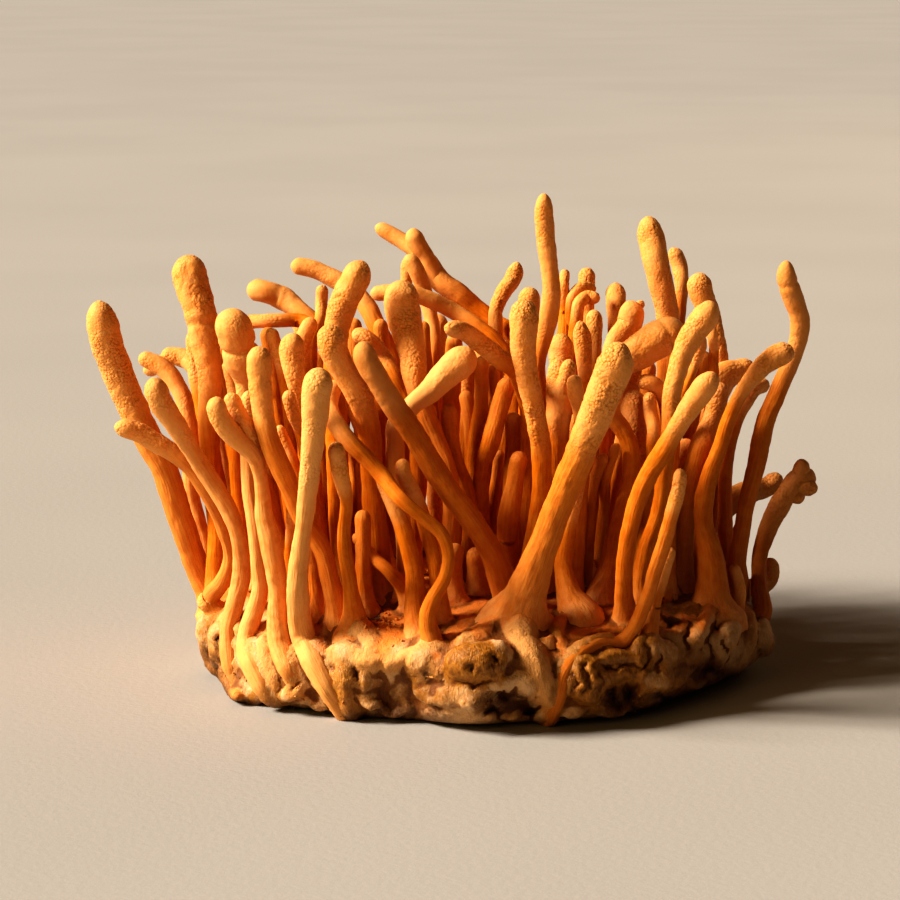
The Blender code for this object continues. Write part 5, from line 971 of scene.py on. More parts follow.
def grow_all():
    """Every stroma's course, by name, settled as its solid is: points, radii, distances from the tip."""
    raw = {}
    for order, (name, (tip, foot, readings)) in enumerate({**STROMATA, **SMALL_STROMATA}.items()):
        raw[name] = course(tip, foot, readings, order)
    raw.update(rear_courses())
    raw.update(heart_courses(list(raw.values())))
    coarse = {}
    for name in raw:
        limits = (SMALL_TOLERANCE, SMALL_SPACING) if is_small(name) else (RING_TOLERANCE, RING_SPACING)
        coarse[name] = rings(*raw[name], *limits)
    groups = [-1 if is_small(name) else k for k, name in enumerate(raw)]
    settled = settle([coarse[name][:2] for name in raw], groups)
    fine = {}
    for name, points in zip(raw, settled):
        steps = (SMALL_STEP, SMALL_STEP) if is_small(name) else (FINE_STEP, PLAIN_STEP)
        fine[name] = fine_course(raw[name], (coarse[name][0], coarse[name][2]), points, steps,
                                 POINTED.get(name, DOME_LENGTH))
        if name in ROOT_RUNS:
            fine[name] = run_on(name, fine[name], ROOT_RUNS[name])
        elif not is_small(name) and needs_side_run(name, fine[name][0]):
            fine[name] = run_on(name, fine[name])
    for order, (name, (tip, foot, readings)) in enumerate(FAR_STROMATA.items()):
        whole = course(tip, foot, readings, order)
        points, _, places = rings(*whole, SMALL_TOLERANCE, SMALL_SPACING)
        fine[name] = fine_course(whole, (points, places), points, (SMALL_STEP, SMALL_STEP))
    return fine


def arm_course(parent_points, readings):
    """A fork's or knob's course, at its parent's depth where the two meet."""
    joint = readings[-1]
    gaps = [np.linalg.norm(place(joint[0], joint[1], point[1]) - point) for point in parent_points]
    depth = parent_points[int(np.argmin(gaps))][1]
    points = np.array([place(a, u, depth) for a, u, _ in readings])
    radii = np.array([d / 2 for _, _, d in readings])
    places = lengths(points)
    return fine_course((points, radii), (points, places), points, (FINE_STEP, FINE_STEP))


GROWN = {}


def grown():
    """The settled courses, worked out once."""
    if not GROWN:
        GROWN.update(grow_all())
    return GROWN


# ---------------------------------------------------------------- node trees

class Graph:
    """Adds nodes to a tree, so that a pattern reads from top to bottom."""

    def __init__(self, tree):
        self.tree = tree

    def node(self, kind, inputs=(), **settings):
        made = self.tree.nodes.new(kind)
        for name, value in settings.items():
            setattr(made, name, value)
        self.feed_all(made, dict(inputs))
        return made

    def feed_all(self, made, inputs):
        for socket, value in inputs.items():
            self.feed(made.inputs[socket], value)

    def feed(self, socket, value):
        """Link a socket's value, or set it on the socket itself."""
        if isinstance(value, bpy.types.NodeSocket):
            self.tree.links.new(value, socket)
        elif socket.type == "RGBA":
            socket.default_value = (*value, 1)
        else:
            socket.default_value = value

    def math(self, operation, *values):
        return self.node("ShaderNodeMath", enumerate(values), operation=operation).outputs[0]

    def times(self, first, *others):
        for other in others:
            first = self.math("MULTIPLY", first, other)
        return first

    def plus(self, first, *others):
        for other in others:
            first = self.math("ADD", first, other)
        return first

    def minus(self, first, second):
        return self.math("SUBTRACT", first, second)

    def scaled(self, vector, factors):
        return self.node("ShaderNodeVectorMath", {0: vector, 1: factors}, operation="MULTIPLY").outputs[0]

    def noise(self, vector, scale, detail=2.0, roughness=0.5, distortion=0.0):
        return self.node("ShaderNodeTexNoise", {"Vector": vector, "Scale": scale, "Detail": detail,
                                                "Roughness": roughness, "Distortion": distortion}).outputs[0]

    def swing(self, *noise):
        """Noise about 0."""
        return self.minus(self.noise(*noise), 0.5)

    def ramp(self, value, low, high, out_low=0.0, out_high=1.0):
        """Value from low to high, eased, as out_low to out_high."""
        inputs = {"Value": value, "From Min": low, "From Max": high, "To Min": out_low, "To Max": out_high}
        return self.node("ShaderNodeMapRange", inputs, interpolation_type="SMOOTHSTEP").outputs[0]

    def mix(self, share, first, second):
        """A share of the second colour over the first."""
        return self.node("ShaderNodeMix", {0: share, 6: first, 7: second}, data_type="RGBA").outputs[2]

    def bump(self, height, distance, under=None):
        inputs = {"Height": height, "Distance": distance, "Strength": 1.0}
        if under is not None:
            inputs["Normal"] = under
        return self.node("ShaderNodeBump", inputs).outputs[0]

    def read(self, name, output="Fac"):
        return self.node("ShaderNodeAttribute", attribute_name=name).outputs[output]

    def store(self, geometry, name, value, data_type="FLOAT"):
        inputs = {"Geometry": geometry, "Name": name, "Value": value}
        return self.node("GeometryNodeStoreNamedAttribute", inputs, data_type=data_type,
                         domain="POINT").outputs[0]

    def named(self, name, data_type="FLOAT"):
        return self.node("GeometryNodeInputNamedAttribute", {"Name": name}, data_type=data_type).outputs[0]

    def push_out(self, geometry, height):
        """Move a surface out along its normals by a height in metres."""
        normal = self.node("GeometryNodeInputNormal").outputs[0]
        offset = self.node("ShaderNodeVectorMath", {0: normal, "Scale": height}, operation="SCALE").outputs[0]
        return self.node("GeometryNodeSetPosition", {"Geometry": geometry, "Offset": offset}).outputs[0]

    def finish(self, geometry, material, output):
        smooth = self.node("GeometryNodeSetShadeSmooth", {"Geometry": geometry}).outputs[0]
        real = self.node("GeometryNodeRealizeInstances", {"Geometry": smooth}).outputs[0]
        dressed = self.node("GeometryNodeSetMaterial", {"Geometry": real, "Material": material}).outputs[0]
        self.feed(output.inputs[0], dressed)


def new_tree(name, sockets):
    """An empty Geometry Nodes tree with a mesh in and out, and these named inputs."""
    tree = bpy.data.node_groups.new(name, "GeometryNodeTree")
    for way in ("OUTPUT", "INPUT"):
        tree.interface.new_socket("Mesh", in_out=way, socket_type="NodeSocketGeometry")
    for label, kind in sockets.items():
        tree.interface.new_socket(label, in_out="INPUT", socket_type="NodeSocket" + kind)
    graph = Graph(tree)
    return graph, graph.node("NodeGroupInput").outputs, graph.node("NodeGroupOutput")


def well_pebbled(graph, flow):
    """Where a head is well pebbled and where it is smoother."""
    return graph.ramp(graph.noise(flow, 0.3, 1.0), 0.4, 0.6, 0.25, 1.0)


def stroma_tree():
    """A round stalk along a course: swept, rolled in and out, wrinkled on its stipe, pebbled on its head."""
    graph, given, output = new_tree("stroma", {
        "Sides": "Int", "Undulation": "Float", "Wrinkles": "Float", "Pebble size": "Float",
        "Pebble height": "Float", "Material": "Material"})
    line = graph.node("GeometryNodeMeshToCurve", {"Mesh": given["Mesh"]}).outputs[0]
    ring = graph.node("GeometryNodeCurvePrimitiveCircle", {"Resolution": given["Sides"],
                                                           "Radius": 1.0}).outputs[0]
    ring = graph.store(ring, "turn", graph.node("GeometryNodeSplineParameter").outputs["Factor"])
    girth, head = graph.named("girth"), graph.named("head")
    stalk = graph.node("GeometryNodeCurveToMesh", {"Curve": line, "Profile Curve": ring, "Scale": girth,
                                                   "Fill Caps": True}).outputs[0]
    angle = graph.times(graph.named("turn"), 2 * math.pi)
    reach = graph.math("DIVIDE", girth, MM)
    flat = graph.node("ShaderNodeCombineXYZ", {
        "X": graph.times(graph.math("COSINE", angle), reach),
        "Y": graph.times(graph.math("SINE", angle), reach),
        "Z": graph.plus(graph.named("along"), graph.named("apart"))}).outputs[0]
    stalk = graph.store(stalk, "flow", flat, "FLOAT_VECTOR")
    flow = graph.named("flow", "FLOAT_VECTOR")
    roll = graph.times(graph.swing(flow, 0.36, 1.5), given["Undulation"], girth)
    dent = graph.times(graph.swing(flow, 0.95, 1.0), given["Undulation"], girth, 0.4)
    streaks = graph.swing(graph.scaled(flow, (1.5, 1.5, 0.16)), 1.0, 2.0)
    wrinkle = graph.times(streaks, given["Wrinkles"], graph.minus(1.0, graph.times(head, 0.8)))
    pebbles = graph.noise(flow, graph.math("DIVIDE", 1.0, given["Pebble size"]), 0.0)
    pebble = graph.times(graph.minus(pebbles, 0.45), given["Pebble height"], head,
                         well_pebbled(graph, flow), graph.named("rough"))
    height = graph.plus(roll, dent, graph.times(graph.plus(wrinkle, pebble), MM))
    graph.finish(graph.push_out(stalk, height), given["Material"], output)
    return graph.tree


def felt_tree():
    """The base's own surface: soft swellings, folds and a felted grain, dying away at the floor."""
    graph, given, output = new_tree("felt", {
        "Swelling": "Float", "Folds": "Float", "Grain": "Float", "Material": "Material"})
    spot = graph.scaled(graph.node("GeometryNodeInputPosition").outputs[0], PER_MM)
    swell = graph.times(graph.swing(spot, 0.3, 2.0), given["Swelling"])
    bent = graph.swing(graph.scaled(spot, (0.6, 0.6, 0.3)), 1.0, 3.0, 0.6, 1.2)
    fold = graph.times(graph.ramp(graph.math("ABSOLUTE", bent), 0.0, 0.07), given["Folds"])
    grain = graph.times(graph.swing(spot, 1.6, 3.0, 0.6), given["Grain"])
    free = graph.ramp(graph.node("ShaderNodeSeparateXYZ", {0: spot}).outputs[2], 0.2, 1.8)
    height = graph.times(graph.plus(swell, fold, grain), free, MM)
    graph.finish(graph.push_out(given["Mesh"], height), given["Material"], output)
    return graph.tree


def crumb_tree():
    """Crumbs of dried matter scattered where a surface is marked for them."""
    graph, given, output = new_tree("crumbs", {
        "Density": "Float", "Size": "Float", "Seed": "Int", "Material": "Material"})
    density = graph.times(graph.named("crumbs"), given["Density"])
    spread = graph.node("GeometryNodeDistributePointsOnFaces", {"Mesh": given["Mesh"], "Density": density,
                                                                "Seed": given["Seed"]}).outputs[0]
    grain = graph.node("GeometryNodeMeshIcoSphere", {"Radius": given["Size"], "Subdivisions": 2}).outputs[0]
    turn, scale = (
        graph.node("FunctionNodeRandomValue", {"Min": low, "Max": high, "Seed": given["Seed"]},
                   data_type="FLOAT_VECTOR").outputs[0]
        for low, high in (((0, 0, 0), (6.28, 6.28, 6.28)), ((0.5, 0.4, 0.35), (1.5, 1.1, 0.9))))
    set_out = graph.node("GeometryNodeInstanceOnPoints", {"Points": spread, "Instance": grain,
                                                          "Rotation": turn, "Scale": scale}).outputs[0]
    graph.finish(set_out, given["Material"], output)
    return graph.tree


def keep_results(things):
    """Leave each object with its evaluated mesh, every attribute with it, and without modifiers."""
    bpy.context.view_layer.update()
    depsgraph = bpy.context.evaluated_depsgraph_get()
    for thing in things:
        mesh = bpy.data.meshes.new_from_object(thing.evaluated_get(depsgraph), preserve_all_data_layers=True,
                                               depsgraph=depsgraph)
        thing.modifiers.clear()
        plain = thing.data
        thing.data = mesh
        mesh.name = thing.name
        bpy.data.meshes.remove(plain)


def run_trees(made):
    """Run a tree with its values on each object of (object, tree, values), and give the plain objects."""
    for guide, tree, values in made:
        change = guide.modifiers.new(tree.name, "NODES")
        change.node_group = tree
        for item in tree.interface.items_tree:
            if item.in_out == "INPUT" and item.name in values:
                change[item.identifier] = values[item.name]
    pieces = [guide for guide, _, _ in made]
    keep_results(pieces)
    return pieces


# ---------------------------------------------------------------- finishes

def new_finish(name):
    """A material with its graph and its shader."""
    material = bpy.data.materials.new(name)
    material.use_nodes = True
    return material, Graph(material.node_tree), material.node_tree.nodes["Principled BSDF"]


def flesh_finish(settings):
    """Dried orange flesh: streaked along the stipe, pebbled and paler on the head with painted shade between
    its pebbles, cream at the foot.
    """
    material, graph, shader = new_finish("stroma_flesh")
    flow, head = graph.read("flow", "Vector"), graph.read("head")
    streaks = graph.noise(graph.scaled(flow, (2.4, 2.4, 0.22)), 1.0, 3.0, 0.6)
    mottle = graph.noise(flow, 0.7, 3.0, 0.6)
    pebbles = graph.node("ShaderNodeTexVoronoi", {"Vector": flow, "Scale": 1.0 / 0.36}).outputs["Distance"]
    pebbled = graph.times(well_pebbled(graph, flow), graph.read("rough"))
    # Painted shade in the hollows between a head's pebbles
    hollow_shade = graph.times(graph.ramp(pebbles, 0.3, 0.75, 0.0, 0.6), pebbled)

    stipe = graph.mix(graph.ramp(streaks, 0.3, 0.7), settings.stipe_dark, settings.stipe)
    crown = graph.mix(hollow_shade, settings.head, settings.head_hollow_shade)
    colour = graph.mix(graph.times(head, 0.92), stipe, crown)
    pale_foot = graph.times(graph.read("foot"), graph.ramp(mottle, 0.3, 0.6, 0.35, 0.85))
    ripe = graph.times(graph.read("ripe"), graph.ramp(graph.noise(flow, 0.5, 3.0, 0.6), 0.3, 0.62))
    for share, coat in ((graph.ramp(mottle, 0.35, 0.72, 0.0, 0.45), settings.mottle),
                        (pale_foot, settings.foot), (ripe, settings.ripe),
                        # the pale coat is partly painted light and the brown one partly painted shade, over
                        # the stalks' own tones
                        (graph.read("pale"), settings.pale), (graph.read("brown_and_shade"), settings.brown_and_shade),
                        (graph.ramp(graph.read("along"), 0.0, 1.6, 0.22, 0.0), settings.foot)):
        colour = graph.mix(share, colour, coat)

    dome = graph.minus(0.5, graph.times(pebbles, pebbles))
    skin = graph.bump(graph.times(dome, graph.plus(graph.times(head, pebbled), 0.06)), 0.15 * MM)
    skin = graph.bump(graph.times(streaks, graph.minus(1.1, head)), 0.16 * MM, skin)
    skin = graph.bump(graph.noise(flow, 7.0, 2.0, 0.7), 0.035 * MM, skin)
    graph.feed_all(shader, {
        "Base Color": colour, "Roughness": graph.ramp(mottle, 0.3, 0.7, 0.52, 0.68), "Normal": skin,
        "Subsurface Weight": 0.1, "Subsurface Radius": (1.0, 0.36, 0.1), "Subsurface Scale": 0.9 * MM,
        "Sheen Weight": 0.01, "Sheen Roughness": 0.5, "Specular IOR Level": 0.1})
    return material


def mycelium_finish(settings):
    """The base's felt: cream with amber, resin-like lumps and bare roots, with painted shade in its creases,
    pits and along its lower edge, and darker patches that are partly its own tone and partly painted shade.
    """
    material, graph, shader = new_finish("mycelium")
    spot = graph.scaled(graph.node("ShaderNodeTexCoord").outputs["Object"], PER_MM)
    level = graph.node("ShaderNodeSeparateXYZ", {0: spot}).outputs[2]
    cloud = graph.noise(spot, 0.22, 3.0, 0.6)
    patchy = graph.noise(spot, 0.9, 4.0, 0.65, 0.6)
    uneven = graph.minus(patchy, 0.5)
    fibres = graph.noise(graph.scaled(spot, (1.0, 1.0, 0.35)), 2.6, 3.0, 0.6, 1.0)
    dried = graph.ramp(graph.plus(graph.read("amber"), graph.times(uneven, 0.9)), 0.3, 0.7)

    cream = graph.mix(graph.ramp(cloud, 0.35, 0.7), settings.cream, settings.tan)
    cream = graph.mix(graph.ramp(fibres, 0.45, 0.75, 0.0, 0.5), cream, settings.felt)
    crown = graph.times(graph.read("crown"), graph.ramp(fibres, 0.2, 0.7, 1.0, 0.7))
    cream = graph.mix(crown, cream, settings.crown)
    resin = graph.mix(graph.ramp(patchy, 0.3, 0.72), settings.amber, settings.honey)
    height = graph.ramp(graph.plus(level, graph.times(cloud, 9.0)), 5.0, 10.5)
    root = graph.mix(height, settings.root_low, settings.root)
    bare = graph.times(graph.read("root"), graph.minus(0.85, graph.times(dried, 0.6)))
    # Darkening: painted shade in pits, under the rim and along the lower edge, with the felt's own darker
    # patches
    darkening = graph.ramp(graph.plus(graph.read("char"), graph.times(uneven, 0.6)), 0.2, 0.9)
    colour = cream
    for share, coat in ((dried, resin), (bare, root),
                        # painted shade at the bottoms of the creases
                        (graph.ramp(graph.read("cavity"), 0.05, 0.55, 0.0, 0.9), settings.crease_shade),
                        (darkening, settings.char)):
        colour = graph.mix(share, colour, coat)

    skin = graph.bump(fibres, 0.2 * MM)
    skin = graph.bump(patchy, 0.12 * MM, skin)
    skin = graph.bump(graph.noise(spot, 6.0, 3.0, 0.7), 0.06 * MM, skin)
    graph.feed_all(shader, {
        "Base Color": colour, "Roughness": graph.mix(dried, (0.72, 0.72, 0.72), (0.3, 0.3, 0.3)),
        "Normal": skin, "Subsurface Weight": 0.2, "Subsurface Radius": (1.0, 0.5, 0.2),
        "Subsurface Scale": 1.0 * MM, "Specular IOR Level": 0.3})
    return material


def floor_finish(settings):
    """A plain pale surface with a faint tooth."""
    material, graph, shader = new_finish("floor")
    spot = graph.node("ShaderNodeTexCoord").outputs["Object"]
    shade = [0.96 * part for part in settings.floor]
    cloud = graph.ramp(graph.noise(spot, 9.0, 2.0, 0.5), 0.3, 0.7)
    graph.feed_all(shader, {
        "Base Color": graph.mix(cloud, settings.floor, shade), "Roughness": 0.8,
        "Normal": graph.bump(graph.noise(spot, 900.0, 3.0, 0.6), 0.05 * MM)})
    return material


# ---------------------------------------------------------------- pieces

SHARED = {}


def shared(name, make, *values):
    """A tree or finish that several pieces use, made once."""
    if name not in SHARED:
        SHARED[name] = make(*values)
    return SHARED[name]


def add_object(name, data):
    """An object in the scene."""
    made = bpy.data.objects.new(name, data)
    bpy.context.scene.collection.objects.link(made)
    return made


def add_facts(mesh, facts):
    """Give a mesh's points these values, each under its name."""
    for key, values in facts.items():
        mesh.attributes.new(key, "FLOAT", "POINT").data.foreach_set("value", values)


def strand_facts(label, order, points, radii, places):
    """What the stroma tree and finish read at each point of a course."""
    height = np.maximum(rest_height(points), 0)
    flare, flare_height = WIDE_FEET.get(label, (0.0 if label in RUNS else FLARE, FLARE_HEIGHT))
    swell = 1 + flare * np.exp(-height / flare_height)
    for spot, width, depth in GROOVES.get(label, ()):
        swell = swell * (1 - depth * np.exp(-((places - spot) / width) ** 2))
    reach = LONG_HEADS.get(label, HEAD_DIAMETERS) * radii[:DOME_STEPS + 2].max()
    head = np.clip((2 * reach - places) / reach + 0.5, 0, 1)
    # Painted shade: heads deep in the bunch keep less of their paler colour and pebbles
    shaded = SHADED.get(label.split("_")[0] + "_", 1.0)
    foot = np.exp(-height / PALE_HEIGHT * (FLARE_HEIGHT / flare_height))
    if label in RUNS:
        paleness = RUN_PALE_LEFT if points[-1][0] < 0 else RUN_PALE_RIGHT
        foot = np.clip((places - RUNS[label][2]) / RUN_PALING, 0, 1) * paleness
    return {"girth": radii * swell * MM, "along": places, "foot": foot,
            "apart": PATTERN_STEP * (len(label) + order + sum(map(ord, label)) % PATTERN_PLACES),
            "head": shaded * head * head * (3 - 2 * head),
            "ripe": np.clip((RIPE_HEIGHT - points[:, 2]) / RIPE_HEIGHT, 0, 1),
            "brown_and_shade": BROWN_AND_SHADE.get(label, 0.0), "pale": PALE_AND_LIT.get(label, 0.0), "rough": ROUGH.get(label, 0.8)}


def guide_object(name, strands):
    """A mesh of bare courses, one for each (name, course), with what the stroma tree and finish read."""
    spots, edges, facts = [], [], {}
    for order, (label, strand) in enumerate(strands):
        start, count = len(spots), len(strand[0])
        spots += [tuple(point * MM) for point in strand[0]]
        edges += [(start + k, start + k + 1) for k in range(count - 1)]
        for key, values in strand_facts(label, order, *strand).items():
            facts.setdefault(key, []).extend(np.broadcast_to(values, count))
    mesh = bpy.data.meshes.new(name)
    mesh.from_pydata(spots, edges, [])
    add_facts(mesh, facts)
    return add_object(name, mesh)


def stroma_values(settings, widest=0.0):
    """What the stroma tree is given for a stalk of this radius."""
    sides = min(MANY_SIDES, max(FEW_SIDES, round(2 * math.pi * widest / SIDE_WIDTH)))
    return {"Sides": sides, "Undulation": settings.undulation, "Wrinkles": settings.wrinkles,
            "Pebble size": settings.pebble_size / MM, "Pebble height": settings.pebble_height / MM,
            "Material": shared("flesh", flesh_finish, settings)}


def hand_over(piece, node):
    """Fix a piece to the body in place of its solid."""
    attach(piece, BODY)
    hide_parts(node)


def grow_group(prefixes):
    """The stromata of their own node whose names start so, each a piece that replaces its solid."""
    settings = bpy.context.scene.cordyceps_flesh
    courses = grown()
    made = []
    names = [name for name in courses if not is_small(name) and name.startswith(prefixes)]
    for name in names:
        points, radii, _ = courses[name]
        arms = [FORKS[name]] if name in FORKS else []
        strands = [courses[name]] + [arm_course(points, readings) for readings in arms + KNOBS.get(name, [])]
        guide = guide_object("flesh_" + name, [(name, strand) for strand in strands])
        made.append((guide, shared("stroma", stroma_tree), stroma_values(settings, radii.max())))
    for piece, name in zip(run_trees(made), names):
        face_out(piece.data)
        hand_over(piece, "stroma_" + name)


def grow_small(label, names):
    """Small stromata that are one with the base, joined in one piece."""
    settings = bpy.context.scene.cordyceps_flesh
    guide = guide_object(label, [(name, grown()[name]) for name in names])
    piece, = run_trees([(guide, shared("stroma", stroma_tree), stroma_values(settings))])
    face_out(piece.data)
    hand_over(piece, "mycelium_base")


def face_out(mesh):
    """Merge the caps' corners into their tubes and turn every face outwards."""
    shape = bmesh.new()
    shape.from_mesh(mesh)
    bmesh.ops.remove_doubles(shape, verts=shape.verts, dist=0.00001 * MM)
    bmesh.ops.recalc_face_normals(shape, faces=shape.faces)
    shape.to_mesh(mesh)
    shape.free()
    keep_above(mesh)


# ---------------------------------------------------------------- the base

BASE_SIDES = 180
BASE_STEP = 0.9  # mm between two rings of the base's skin
RIM_INNER = 24.0  # mm from the middle within which nothing counts as the base's side
RIDGE_STEP = 0.6  # mm between two rings of a root
RIDGE_SIDES = 12
LUMP_TILT = 6.0  # how far up a lump faces, against its way out in mm
RIM_TILT = (7.0, 4.0, 1.2)  # how a root's way out turns up: from this height, over this much, to at most
PROUD_SHARE = 0.08  # of its width, by which a wider root stands out more
SKIN_SEARCH = (4, 10)  # mm before the cake and beyond its middle that its skin is looked for
COLLAR_HEIGHT = 3.4  # mm above the cake to which a stalk has a collar
COLLAR_WIDTH = (0.8, 1.0, 1.1)  # its least width in the stalk's, what its foot has more, over which height
COLLAR_POINTS = 4  # fewer of them make no collar
ROOT_EDGE = 1.45  # in a root's radii, where its skin has given way to felt
ROOT_EDGE_WIDTH = 0.35
CRUMB_DENSITY = 1.6e6  # crumbs on a square metre where there are most
CRUMB_SEED = 4


def cake_points():
    """The cake's skin, swollen as its solid is: points by ring and side."""
    profile = np.array(CAKE_PROFILE)
    along = lengths(profile)
    places = np.linspace(0, along[-1], int(along[-1] / BASE_STEP))
    rings_out = np.column_stack([np.interp(places, along, profile[:, k]) for k in (0, 1)])
    slope = np.gradient(rings_out, axis=0)
    outward = np.column_stack([-slope[:, 1], slope[:, 0]])
    outward /= np.linalg.norm(outward, axis=1)[:, None]
    levels = [Vector(around(2 * math.pi * side / BASE_SIDES)) for side in range(BASE_SIDES)]
    rows = []
    for (reach, height), (out, rise) in zip(rings_out, outward):
        row = []
        for level in levels:
            plain = level * reach + Vector((0, 0, height))
            edge = min(1.0, reach / CAKE_RADIUS) ** CAKE_EDGE_POWER
            moved = plain + level * lobe_reach(plain) * edge
            swell = lump_height(plain)
            if height < GAP:
                moved += level * swell * edge
            else:
                moved += (level * out + Vector((0, 0, rise))) * (swell + wave_height(plain))
            row.append(moved)
        rows.append(row)
    return rows


def add_shell(shape, rows):
    """A closed skin through rings of points, its ends closed by a middle point."""
    rings_made = [[shape.verts.new(point) for point in row] for row in rows]
    for upper, lower in zip(rings_made, rings_made[1:]):
        for k in range(len(upper)):
            j = (k + 1) % len(upper)
            shape.faces.new((upper[k], lower[k], lower[j], upper[j]))
    for row in (rings_made[0], rings_made[-1]):
        middle = shape.verts.new(sum((vert.co for vert in row), Vector()) / len(row))
        for k in range(len(row)):
            shape.faces.new((row[k], row[(k + 1) % len(row)], middle))


def add_ridge(shape, points, radii):
    """A round root along a course, with domed ends."""
    along = lengths(points)
    places = np.arange(0, along[-1], RIDGE_STEP)
    centres, widths = hermite(along, points, places), hermite(along, radii, places)
    ahead = np.gradient(centres, axis=0)
    turns = np.linspace(0, 2 * math.pi, RIDGE_SIDES, endpoint=False)
    rows = []
    for k, (centre, width) in enumerate(zip(centres, widths)):
        end = min(k, len(centres) - 1 - k) * RIDGE_STEP / max(width, 0.1)
        width = float(width) * math.sqrt(max(0.04, 1 - max(0.0, 1 - end) ** 2))
        way = Vector(ahead[k]).normalized()
        first = way.orthogonal().normalized() if k == 0 else (first - way * first.dot(way)).normalized()
        second = way.cross(first)
        rows.append([Vector(centre) + width * (first * math.cos(a) + second * math.sin(a)) for a in turns])
    add_shell(shape, rows)


def add_lump(shape, centre, sizes, facing):
    """An ellipsoid: across, up and out, facing a direction."""
    out = Vector(facing).normalized()
    side = out.cross(Vector((0, 0, 1))).normalized()
    up = side.cross(out)
    turn = Matrix((side, up, out)).transposed().to_4x4()
    place_at = Matrix.Translation(Vector(centre)) @ turn @ Matrix.Diagonal((*sizes, 1.0))
    bmesh.ops.create_uvsphere(shape, u_segments=20, v_segments=12, radius=1.0, matrix=place_at)


def skin_point(across, up):
    """Where the sight line through (across, up) meets the swollen cake's skin, or its rim if it passes by."""
    best, least = None, math.inf
    before, beyond_middle = SKIN_SEARCH
    for depth in np.arange(-CAKE_RADIUS - before, beyond_middle, SIGHT_STEP):
        point = place(across, up, depth)
        turn = math.atan2(point[0], -point[1])
        reach = np.interp(max(point[2], 0.0), *rim_reach(turn), right=0.0)
        beyond = math.hypot(point[0], point[1]) - reach
        if beyond <= 0.0:
            return point
        if beyond < least:
            best, least = point, beyond
    return best


def rim_reach(turn):
    """The skin's reach from the middle at each height, in a direction."""
    rows = shared("skin_rows", cake_points)
    side = int(round(turn / (2 * math.pi) * BASE_SIDES)) % BASE_SIDES
    outer = [row[side] for row in rows if math.hypot(row[side].x, row[side].y) > RIM_INNER]
    outer.sort(key=lambda point: point.z)
    return [point.z for point in outer], [math.hypot(point.x, point.y) for point in outer]


def reach_at(turn, height):
    """The skin's reach from the middle in a direction and at a height."""
    return float(np.interp(height, *rim_reach(turn)))


def far_turn(chance):
    """A direction by chance, to the sides or back."""
    return math.radians(chance.uniform(FAR_FRONT, 360 - FAR_FRONT))


def on_view(points):
    """(across, up) of points, as the view through the middle plane shows them."""
    start = eye()
    ahead = SIGHT_TARGET - start
    ahead /= np.linalg.norm(ahead)
    upward = np.array([0.0, math.sin(SIGHT_RISE), math.cos(SIGHT_RISE)])
    ray = points - start
    reach = SIGHT_DISTANCE / (ray @ ahead)
    hit = start + ray * reach[:, None]
    return np.column_stack([hit[:, 0] - SIGHT_TARGET[0], (hit - SIGHT_TARGET) @ upward])


def raw_base():
    """The cake with its roots, lumps and the stalks' collars, as closed shells that run into each other."""
    shape = bmesh.new()
    add_shell(shape, shared("skin_rows", cake_points))
    for points, radii in root_lines():
        add_ridge(shape, points, radii)
    for points, radii, _ in RUNS.values():
        sunk = np.array([point - outwards(point) * RUN_SUNK * width for point, width in zip(points, radii)])
        add_ridge(shape, sunk, radii * RUN_FILLET)
    for across, up, width, height, out in LUMPS:
        centre = skin_point(across, up)
        add_lump(shape, centre, (width / 2, height / 2, out), (centre[0], centre[1], LUMP_TILT))
    chance = random.Random(FAR_SEED)
    for _ in range(FAR_ROOTS):
        add_far_root(shape, chance, far_turn(chance))
    for _ in range(FAR_LUMPS):
        turn = far_turn(chance)
        height = chance.uniform(*FAR_LUMP_HEIGHT)
        sizes = [chance.uniform(*span) for span in FAR_LUMP_SIZES]
        add_lump(shape, around(turn, reach_at(turn, height), height), sizes, around(turn))
    for name, (points, radii, _) in grown().items():
        if name not in RUNS:
            add_collar(shape, points, radii)
    bmesh.ops.scale(shape, vec=(MM, MM, MM), verts=shape.verts)
    mesh = bpy.data.meshes.new("base")
    shape.to_mesh(mesh)
    shape.free()
    return add_object("mycelium", mesh)


def root_lines():
    """The listed roots on the base's front: points on the skin and radii."""
    lines = []
    start, over, most = RIM_TILT
    for readings in ROOTS:
        radii, points = [], []
        if isinstance(readings[0], str):
            stalk, girths, _ = grown()[readings[0]]
            k = int(np.argmin(np.abs(rest_height(stalk) - FAN_HEIGHT)))
            points.append(stalk[k])
            radii.append(girths[k])
            readings = readings[1:]
        for across, up, width in readings:
            point = skin_point(across, up)
            out = outwards(point) + np.array([0, 0, np.clip((point[2] - start) / over, 0, most)])
            proud = min((1 + RUN_LIFT) * width / 2, ROOT_PROUD + PROUD_SHARE * width)
            points.append(point + out / np.linalg.norm(out) * (proud - width / 2))
            radii.append(width / 2)
        lines.append((np.array(points), np.array(radii)))
    return lines


def root_share(spots):
    """How much of each point is a root's skin and not felt: 1 on a root, 0 a little beside it."""
    stations = []
    for points, radii in root_lines() + [(points, radii) for points, radii, _ in RUNS.values()]:
        along = lengths(points)
        places = np.arange(0, along[-1], RIDGE_STEP / 2)
        stations += list(zip(hermite(along, points, places), hermite(along, radii, places)))
    tree = KDTree(len(stations))
    for k, (point, _) in enumerate(stations):
        tree.insert(point, k)
    tree.balance()
    found = [tree.find(spot) for spot in spots]
    off = np.array([distance / stations[k][1] for _, k, distance in found])
    return np.clip((ROOT_EDGE - off) / ROOT_EDGE_WIDTH, 0.0, 1.0)


